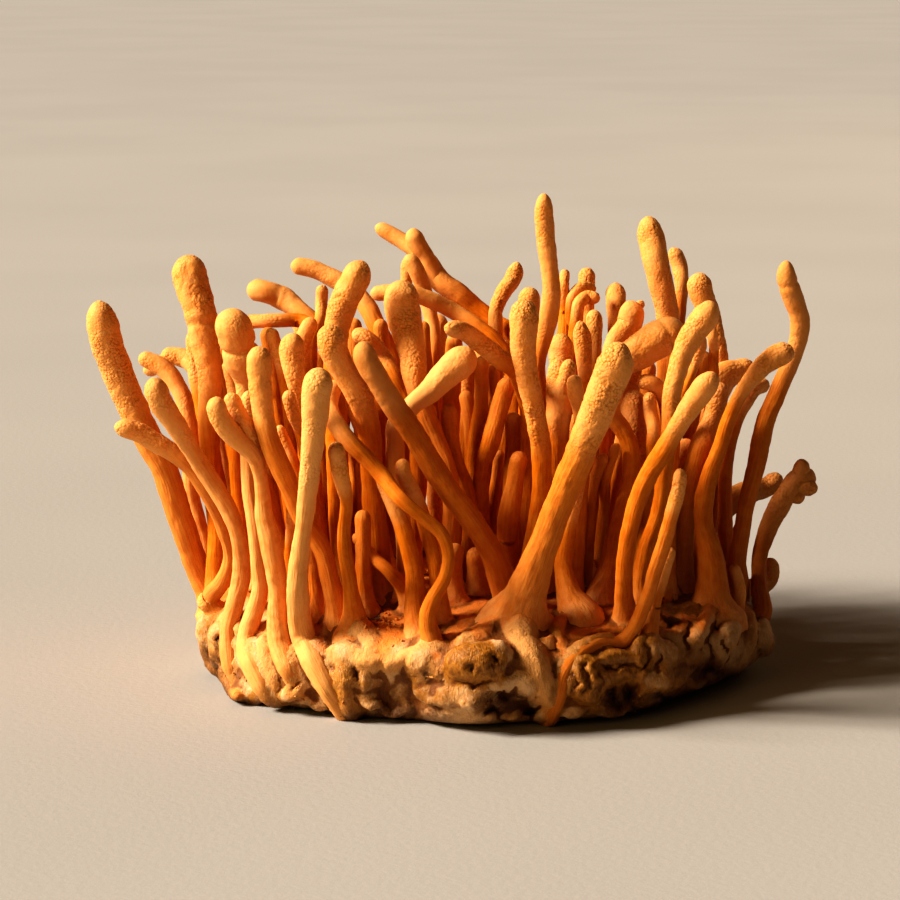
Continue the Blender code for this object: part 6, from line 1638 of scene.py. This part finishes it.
def add_far_root(shape, chance, turn):
    """A root that runs down the side, in a direction."""
    width = chance.uniform(*FAR_ROOT_WIDTH)
    drift = chance.uniform(-FAR_ROOT_DRIFT, FAR_ROOT_DRIFT)
    most, less = FAR_ROOT_TAPER
    points, radii = [], []
    for k, height in enumerate(FAR_ROOT_HEIGHTS):
        a = turn + drift * k / 3 + chance.uniform(-FAR_ROOT_STRAY, FAR_ROOT_STRAY)
        points.append(around(a, reach_at(a, height) - SIDE_SINK * width, height))
        radii.append(width * (most - less * k))
    add_ridge(shape, np.array(points), np.array(radii))


def add_collar(shape, points, radii):
    """The swollen ring where a stalk comes out of the cake."""
    height = rest_height(points)
    low = height < COLLAR_HEIGHT
    if low.sum() >= COLLAR_POINTS:
        least, more, over = COLLAR_WIDTH
        widths = radii[low] * (least + more * np.exp(-np.maximum(height[low], 0) / over))
        add_ridge(shape, points[low], widths)


def read_rows(points, key):
    """One vector of each of a mesh's points, as rows."""
    values = np.empty(len(points) * 3)
    points.foreach_get(key, values)
    return values.reshape(-1, 3)


def beside(seen, mark, power=1.0):
    """How much of a mark each point has, as the view shows them: 1 in its middle."""
    across, up, width, height = mark[:4]
    off = ((seen[:, 0] - across) / (width / 2)) ** 2 + ((seen[:, 1] - up) / (height / 2)) ** 2
    return np.exp(-off ** power)


def share_past(values, start, over):
    """0 up to the start and 1 from there over a stretch."""
    return np.clip((values - start) / over, 0, 1)


def towards(values, level, share):
    """Values brought nearer a level by a share of the way."""
    return values + (level - values) * share


def coats(spots, seen, front, chance):
    """How amber the felt is at each point, and how dark: partly its own darker patches, partly painted shade
    under the rim and along the lower edge.
    """
    amber, char = np.full(len(spots), PLAIN_AMBER), np.zeros(len(spots))
    for mark in PATCHES:
        share = front * beside(seen, mark, PATCH_EDGE)
        amber, char = towards(amber, mark[4], share), towards(char, mark[5], share)
    turn = np.arctan2(spots[:, 0], -spots[:, 1])
    outer = np.hypot(spots[:, 0], spots[:, 1]) > FAR_PATCH_REACH
    for _ in range(FAR_PATCHES):
        angle = far_turn(chance)
        height, size = chance.uniform(*FAR_PATCH_HEIGHT), chance.uniform(*FAR_PATCH_SIZE)
        level, dark = chance.uniform(0, 1), chance.uniform(*FAR_PATCH_CHAR)
        side = (turn - angle + math.pi) % (2 * math.pi) - math.pi
        off = ((side * CAKE_RADIUS) / size) ** 2 + ((spots[:, 2] - height) / size) ** 2
        share = np.where(outer, np.exp(-off ** FAR_PATCH_EDGE), 0.0)
        amber, char = towards(amber, level, share), towards(char, max(0.0, dark), share)
    edge, over = LOW_EDGE
    low = np.exp(-np.maximum(spots[:, 2] - edge, 0) / over)
    return amber, towards(char, LOW_SHADE, low * np.where(amber > AMBER_LEAST, *LOW_SHARES))


def hollows(spots, seen, outer, char, chance):
    """Press dents, folds and pits into the points, and give the darkening with painted shade in the pits."""
    to_eye = eye() - spots
    to_eye /= np.linalg.norm(to_eye, axis=1)[:, None]
    for mark in DENTS + FOLDS:
        spots -= to_eye * (mark[4] * outer * beside(seen, mark, DENT_EDGE))[:, None]
    for mark in PITS:
        share = outer * beside(seen, mark)
        spots -= to_eye * (mark[4] * share)[:, None]
        char = towards(char, PIT_SHADE, share_past(share, *PIT_EDGE))
    for _ in range(FAR_PITS):
        angle = far_turn(chance)
        height = chance.uniform(*FAR_PIT_HEIGHT)
        size, depth = chance.uniform(*FAR_PIT_SIZE), chance.uniform(*FAR_PIT_DEPTH)
        off = np.linalg.norm(spots - around(angle, reach_at(angle, height), height), axis=1) / size
        share = np.exp(-off ** 2)
        spots -= around(angle) * (depth * share)[:, None]
        char = towards(char, FAR_PIT_SHADE, share_past(share, *PIT_EDGE))
    spots[:, 2] = np.maximum(spots[:, 2], 0.0)
    return char


def crown_share(spots, normals, seen, front):
    """How orange the felt between the stalks is at each point."""
    first, slow, second, fast = CROWN_WAVES
    ragged = first * np.sin(spots[:, 0] * slow) + second * np.sin(spots[:, 0] * fast + spots[:, 1])
    crown = share_past(spots[:, 2], *CROWN_HEIGHT) * share_past(normals[:, 2], *CROWN_SLOPE)
    crown *= np.clip((CROWN_REACH + ragged - np.hypot(spots[:, 0], spots[:, 1])) / CROWN_EDGE, 0, 1)
    for mark in PALE_FELT:
        crown *= 1 - front * beside(seen, mark, PATCH_EDGE)
    return crown


def base_marks(base):
    """Pits, and where the felt is amber, darker (partly painted shade) or crumbly, from what the view shows.
    """
    mesh = base.data
    spots = read_rows(mesh.vertices, "co") / MM
    normals = read_rows(mesh.vertex_normals, "vector")
    seen = on_view(spots)
    for wave, swing in MARK_WAVES:
        seen = seen + swing * np.sin(seen[:, ::-1] * wave + np.array(MARK_STARTS))
    near = spots[:, 1] < FRONT_DEPTH
    front = (np.einsum("ij,ij->i", normals, eye() - spots) > 0.0) & near
    outer = share_past(np.hypot(spots[:, 0], spots[:, 1]), *OUTER_START) * near
    chance = random.Random(FAR_SEED + 1)
    amber, char = coats(spots, seen, front, chance)
    char = hollows(spots, seen, outer, char, chance)
    mesh.vertices.foreach_set("co", (spots * MM).ravel())
    crown = crown_share(spots, normals, seen, front)
    root = root_share(spots) * (1 - 0.85 * crown) * np.clip(1 - (spots[:, 0] - 14) / 8, 0.25, 1)
    crumbs = front * np.max([beside(seen, mark) for mark in CRUMBS], axis=0)
    add_facts(mesh, {"amber": amber, "char": char, "crumbs": crumbs, "root": root, "crown": crown,
                     "cavity": cavity(mesh, spots, normals)})
    mesh.update()


def cavity(mesh, spots, normals):
    """How deep each point lies among those round it: 1 in a crease, -1 on an edge."""
    ends = np.empty(len(mesh.edges) * 2, dtype=np.int32)
    mesh.edges.foreach_get("vertices", ends)
    first, second = ends[::2], ends[1::2]
    count = len(spots)
    degree = np.bincount(first, minlength=count) + np.bincount(second, minlength=count)
    level = spots.copy()
    for _ in range(CAVITY_ROUNDS):
        total = [np.bincount(first, level[second, k], count) + np.bincount(second, level[first, k], count)
                 for k in range(3)]
        level = np.column_stack(total) / degree[:, None]
    return np.clip(np.einsum("ij,ij->i", level - spots, normals) / CAVITY_DEPTH, -1, 1)


def settle_mesh(base, voxel, rounds):
    """Melt the shells into one skin and soften it."""
    melt = base.modifiers.new("melt", "REMESH")
    melt.mode = "VOXEL"
    melt.voxel_size = voxel
    soften = base.modifiers.new("soften", "SMOOTH")
    soften.factor = 0.5
    soften.iterations = rounds
    keep_results([base])


# ---------------------------------------------------------------- settings

class CordycepsFlesh(bpy.types.PropertyGroup):
    """The stromata's sizes and colours."""

    undulation: FloatProperty(
        name="Undulation", description="How far a stalk rolls in and out, as a share of its radius",
        default=0.26)
    wrinkles: FloatProperty(
        name="Wrinkles", description="Height of the lengthwise wrinkles, in mm", default=0.16)
    pebble_size: FloatProperty(
        name="Pebble size", description="Width of a pebble of the head", default=0.52 * MM, unit="LENGTH",
        precision=5)
    pebble_height: FloatProperty(
        name="Pebble height", description="How far a pebble stands out", default=0.2 * MM, unit="LENGTH",
        precision=5)
    stipe: FloatVectorProperty(
        name="Stipe", description="Colour of the stipes", subtype="COLOR", default=(0.62, 0.182, 0.004))
    stipe_dark: FloatVectorProperty(
        name="Stipe streak", description="Colour of their darker streaks", subtype="COLOR",
        default=(0.52, 0.132, 0.002))
    head: FloatVectorProperty(
        name="Head", description="Colour of the heads' pebbles", subtype="COLOR", default=(0.80, 0.39, 0.13))
    # Painted shade between a head's pebbles
    head_hollow_shade: FloatVectorProperty(
        name="Head hollow", description="Colour between the pebbles", subtype="COLOR",
        default=(0.56, 0.19, 0.022))
    mottle: FloatVectorProperty(
        name="Mottle", description="Colour of the paler clouds", subtype="COLOR", default=(0.70, 0.27, 0.03))
    foot: FloatVectorProperty(
        name="Foot", description="Colour of the pale feet", subtype="COLOR", default=(0.76, 0.38, 0.14))
    ripe: FloatVectorProperty(
        name="Ripe", description="Colour of the roots' lower ends", subtype="COLOR",
        default=(0.55, 0.19, 0.02))
    # Partly the palest stalks' own colour, partly painted light
    pale: FloatVectorProperty(
        name="Pale", description="Colour of the palest stalks", subtype="COLOR", default=(0.80, 0.44, 0.16))
    # Partly the brownest stalks' own colour, partly painted shade
    brown_and_shade: FloatVectorProperty(
        name="Brown", description="Colour of the brownest stalks", subtype="COLOR",
        default=(0.36, 0.13, 0.03))


class CordycepsBase(bpy.types.PropertyGroup):
    """The mycelium's sizes and colours."""

    voxel: FloatProperty(
        name="Voxel", description="Width of the grid that its shells melt in", default=0.44 * MM,
        unit="LENGTH", precision=5)
    rounds: IntProperty(name="Softening", description="Rounds of smoothing", default=3)
    swelling: FloatProperty(name="Swelling", description="Soft swellings, in mm", default=0.7)
    folds: FloatProperty(name="Folds", description="Depth of the creases, in mm", default=0.16)
    crumb: FloatProperty(
        name="Crumb", description="Radius of a crumb", default=0.26 * MM, unit="LENGTH", precision=5)
    grain: FloatProperty(name="Grain", description="Height of the felt, in mm", default=0.14)
    cream: FloatVectorProperty(
        name="Cream", description="Colour of the fresh felt", subtype="COLOR", default=(0.64, 0.39, 0.19))
    tan: FloatVectorProperty(
        name="Tan", description="Colour of the older felt", subtype="COLOR", default=(0.50, 0.24, 0.07))
    root: FloatVectorProperty(
        name="Root", description="Colour of the roots", subtype="COLOR", default=(0.64, 0.32, 0.10))
    root_low: FloatVectorProperty(
        name="Root below", description="Colour of their lower ends", subtype="COLOR",
        default=(0.60, 0.24, 0.035))
    crown: FloatVectorProperty(
        name="Crown", description="Colour of the felt between the stalks", subtype="COLOR",
        default=(0.76, 0.23, 0.018))
    felt: FloatVectorProperty(
        name="Felt", description="Colour of its strands", subtype="COLOR", default=(0.74, 0.52, 0.32))
    # Painted shade at the bottoms of the folds
    crease_shade: FloatVectorProperty(
        name="Crease", description="Colour of its folds' bottoms", subtype="COLOR",
        default=(0.20, 0.062, 0.006))
    amber: FloatVectorProperty(
        name="Amber", description="Colour of the dark amber", subtype="COLOR", default=(0.22, 0.082, 0.008))
    honey: FloatVectorProperty(
        name="Honey", description="Colour of the light amber", subtype="COLOR", default=(0.48, 0.21, 0.03))
    # Painted shade of the pits, the under-rim and the lower edge, and also the felt's own darker patches
    char: FloatVectorProperty(
        name="Char", description="Colour of the hollows and the lower edge", subtype="COLOR",
        default=(0.10, 0.036, 0.010))


class CordycepsStage(bpy.types.PropertyGroup):
    """The camera, the light and the floor."""

    lens: FloatProperty(name="Lens", description="Focal length, in mm", default=126.0)
    sensor: FloatProperty(name="Sensor", description="Sensor width, in mm", default=36.0)
    key: FloatProperty(name="Key", description="Power of the main light", default=6.6)
    rim: FloatProperty(name="Rim", description="Power of the light from behind", default=1.2, unit="POWER")
    front: FloatProperty(
        name="Front", description="Power of the warm light from the front", default=1.9, unit="POWER")
    fill: FloatProperty(name="Fill", description="Strength of the light all round", default=0.05)
    floor: FloatVectorProperty(
        name="Floor", description="Colour of the floor", subtype="COLOR", default=(0.36, 0.345, 0.325))


# ---------------------------------------------------------------- operators

class GrowGroup:
    """Grows the stromata whose names start with one of the prefixes."""

    bl_options = {"REGISTER", "UNDO"}
    prefixes = ()

    def execute(self, context):
        grow_group(self.prefixes)
        return {"FINISHED"}


class CORDYCEPS_OT_left(GrowGroup, bpy.types.Operator):
    """Grow the stromata of the left side"""

    bl_idname = "cordyceps.left"
    bl_label = "Left stromata"
    prefixes = ("left_",)


class CORDYCEPS_OT_fore(GrowGroup, bpy.types.Operator):
    """Grow the stromata of the front edge"""

    bl_idname = "cordyceps.fore"
    bl_label = "Front stromata"
    prefixes = ("fore_", "great_")


class CORDYCEPS_OT_middle(GrowGroup, bpy.types.Operator):
    """Grow the stromata of the middle"""

    bl_idname = "cordyceps.middle"
    bl_label = "Middle stromata"
    prefixes = ("mid_", "winding", "diagonal_", "crossing_", "tallest")


class CORDYCEPS_OT_back(GrowGroup, bpy.types.Operator):
    """Grow the stromata whose tips rise behind the middle"""

    bl_idname = "cordyceps.back"
    bl_label = "Back stromata"
    prefixes = ("back_", "cluster_")


class CORDYCEPS_OT_right(GrowGroup, bpy.types.Operator):
    """Grow the stromata of the right side"""

    bl_idname = "cordyceps.right"
    bl_label = "Right stromata"
    prefixes = ("right_", "fat_")


class CORDYCEPS_OT_rear(GrowGroup, bpy.types.Operator):
    """Grow the row of stromata on the far side"""

    bl_idname = "cordyceps.rear"
    bl_label = "Rear stromata"
    prefixes = ("rear_",)


class CORDYCEPS_OT_small(bpy.types.Operator):
    """Grow the small stromata that are one with the base"""

    bl_idname = "cordyceps.small"
    bl_label = "Small stromata"
    bl_options = {"REGISTER", "UNDO"}

    def execute(self, context):
        grow_small("flesh_small", list(SMALL_STROMATA))
        grow_small("flesh_heart", [name for name in grown() if is_small(name) and name not in SMALL_STROMATA])
        return {"FINISHED"}


class CORDYCEPS_OT_base(bpy.types.Operator):
    """Make the mycelium base with its roots, lumps and hollows"""

    bl_idname = "cordyceps.base"
    bl_label = "Mycelium base"
    bl_options = {"REGISTER", "UNDO"}

    def execute(self, context):
        settings = context.scene.cordyceps_base
        base = raw_base()
        settle_mesh(base, settings.voxel, settings.rounds)
        base_marks(base)
        values = {"Swelling": settings.swelling, "Folds": settings.folds, "Grain": settings.grain,
                  "Material": shared("mycelium", mycelium_finish, settings)}
        piece, = run_trees([(base, shared("felt", felt_tree), values)])
        keep_above(piece.data)
        hand_over(piece, "mycelium_base")
        return {"FINISHED"}


def keep_above(mesh):
    """No point goes below the surface that the bunch stands on."""
    spots = read_rows(mesh.vertices, "co")
    spots[:, 2] = np.maximum(spots[:, 2], 0.0)
    mesh.vertices.foreach_set("co", spots.ravel())
    mesh.update()


class CORDYCEPS_OT_crumbs(bpy.types.Operator):
    """Scatter crumbs of dried matter on the base"""

    bl_idname = "cordyceps.crumbs"
    bl_label = "Crumbs"
    bl_options = {"REGISTER", "UNDO"}

    def execute(self, context):
        settings = context.scene.cordyceps_base
        guide = add_object("mycelium_crumbs", bpy.data.objects["mycelium"].data.copy())
        values = {"Density": CRUMB_DENSITY, "Size": settings.crumb, "Seed": CRUMB_SEED,
                  "Material": shared("mycelium", mycelium_finish, settings)}
        piece, = run_trees([(guide, shared("crumbs", crumb_tree), values)])
        hand_over(piece, "mycelium_base")
        return {"FINISHED"}


class CORDYCEPS_OT_stage(bpy.types.Operator):
    """Set the camera, the light and the floor"""

    bl_idname = "cordyceps.stage"
    bl_label = "Stage"
    bl_options = {"REGISTER", "UNDO"}

    def execute(self, context):
        settings = context.scene.cordyceps_stage
        set_camera(context.scene, settings)
        set_light(context.scene, settings)
        set_floor(settings)
        return {"FINISHED"}


# ---------------------------------------------------------------- the stage

SUN_PLACE = (-2.36, -0.36, 1.80)
SUN_TARGET = (0.0, 0.0, 0.02)
SUN_WIDTH = math.radians(19)
SUN_COLOUR = (1.0, 0.91, 0.80)
WORLD_COLOUR = (1.0, 0.66, 0.30, 1.0)
# Lamps: place in metres and colour
AREA_LIGHTS = {
    "rim": ((0.70, 0.80, 0.45), (1.0, 0.62, 0.36)), "front": ((-0.74, -0.76, 0.34), (1.0, 0.74, 0.34)),
}
AREA_SIZE = 0.5
FLOOR_RADIUS = 9.0
FLOOR_SIDES = 96


def look_at(thing, spot, target):
    """Place a camera or light and turn it to a target; both in metres."""
    thing.location = spot
    thing.rotation_euler = (Vector(target) - Vector(spot)).to_track_quat("-Z", "Y").to_euler()


def set_camera(scene, settings):
    """The camera stands where the courses were read from."""
    lens = bpy.data.cameras.new("camera")
    lens.lens = settings.lens
    lens.sensor_width = settings.sensor
    scene.camera = add_object("camera", lens)
    look_at(scene.camera, eye() * MM, SIGHT_TARGET * MM)
    scene.view_settings.view_transform = "Standard"
    scene.view_settings.look = "High Contrast"


def add_area(name, power):
    """A soft square light that faces the bunch."""
    spot, colour = AREA_LIGHTS[name]
    lamp = bpy.data.lights.new(name, "AREA")
    lamp.shape = "SQUARE"
    lamp.size = AREA_SIZE
    lamp.energy = power
    lamp.color = colour
    look_at(add_object(name, lamp), spot, SIGHT_TARGET * MM)


def set_light(scene, settings):
    """A soft sun from the left, a weak warm light behind, a warm one in front and a dim warm world."""
    sun = bpy.data.lights.new("key", "SUN")
    sun.energy = settings.key
    sun.angle = SUN_WIDTH
    sun.color = SUN_COLOUR
    look_at(add_object("key", sun), SUN_PLACE, SUN_TARGET)
    add_area("rim", settings.rim)
    add_area("front", settings.front)
    world = bpy.data.worlds.new("studio")
    world.use_nodes = True
    back = world.node_tree.nodes["Background"]
    back.inputs["Color"].default_value = WORLD_COLOUR
    back.inputs["Strength"].default_value = settings.fill
    scene.world = world


def set_floor(settings):
    """A wide round floor."""
    mesh = bpy.data.meshes.new("floor")
    shape = bmesh.new()
    bmesh.ops.create_circle(shape, cap_ends=True, segments=FLOOR_SIDES, radius=FLOOR_RADIUS)
    shape.to_mesh(mesh)
    shape.free()
    mesh.materials.append(floor_finish(settings))
    add_object("floor", mesh)


OPERATORS = (
    CORDYCEPS_OT_left, CORDYCEPS_OT_fore, CORDYCEPS_OT_middle, CORDYCEPS_OT_back, CORDYCEPS_OT_right,
    CORDYCEPS_OT_rear, CORDYCEPS_OT_small, CORDYCEPS_OT_base, CORDYCEPS_OT_crumbs, CORDYCEPS_OT_stage)


class CORDYCEPS_PT_panel(bpy.types.Panel):
    """Lists the pieces of the bunch"""

    bl_idname = "CORDYCEPS_PT_panel"
    bl_label = "Cordyceps Bunch"
    bl_space_type = "VIEW_3D"
    bl_region_type = "UI"
    bl_category = "Cordyceps"

    def draw(self, context):
        for operator in OPERATORS:
            self.layout.operator(operator.bl_idname)


CLASSES = (CordycepsFlesh, CordycepsBase, CordycepsStage, *OPERATORS, CORDYCEPS_PT_panel)


def register():
    for kind in CLASSES:
        bpy.utils.register_class(kind)
    bpy.types.Scene.cordyceps_flesh = PointerProperty(type=CordycepsFlesh)
    bpy.types.Scene.cordyceps_base = PointerProperty(type=CordycepsBase)
    bpy.types.Scene.cordyceps_stage = PointerProperty(type=CordycepsStage)


def unregister():
    del bpy.types.Scene.cordyceps_stage
    del bpy.types.Scene.cordyceps_base
    del bpy.types.Scene.cordyceps_flesh
    for kind in reversed(CLASSES):
        bpy.utils.unregister_class(kind)


def main():
    register()
    for operator in OPERATORS:
        getattr(bpy.ops.cordyceps, operator.bl_idname.partition(".")[2])()


if __name__ == "__main__":
    main()
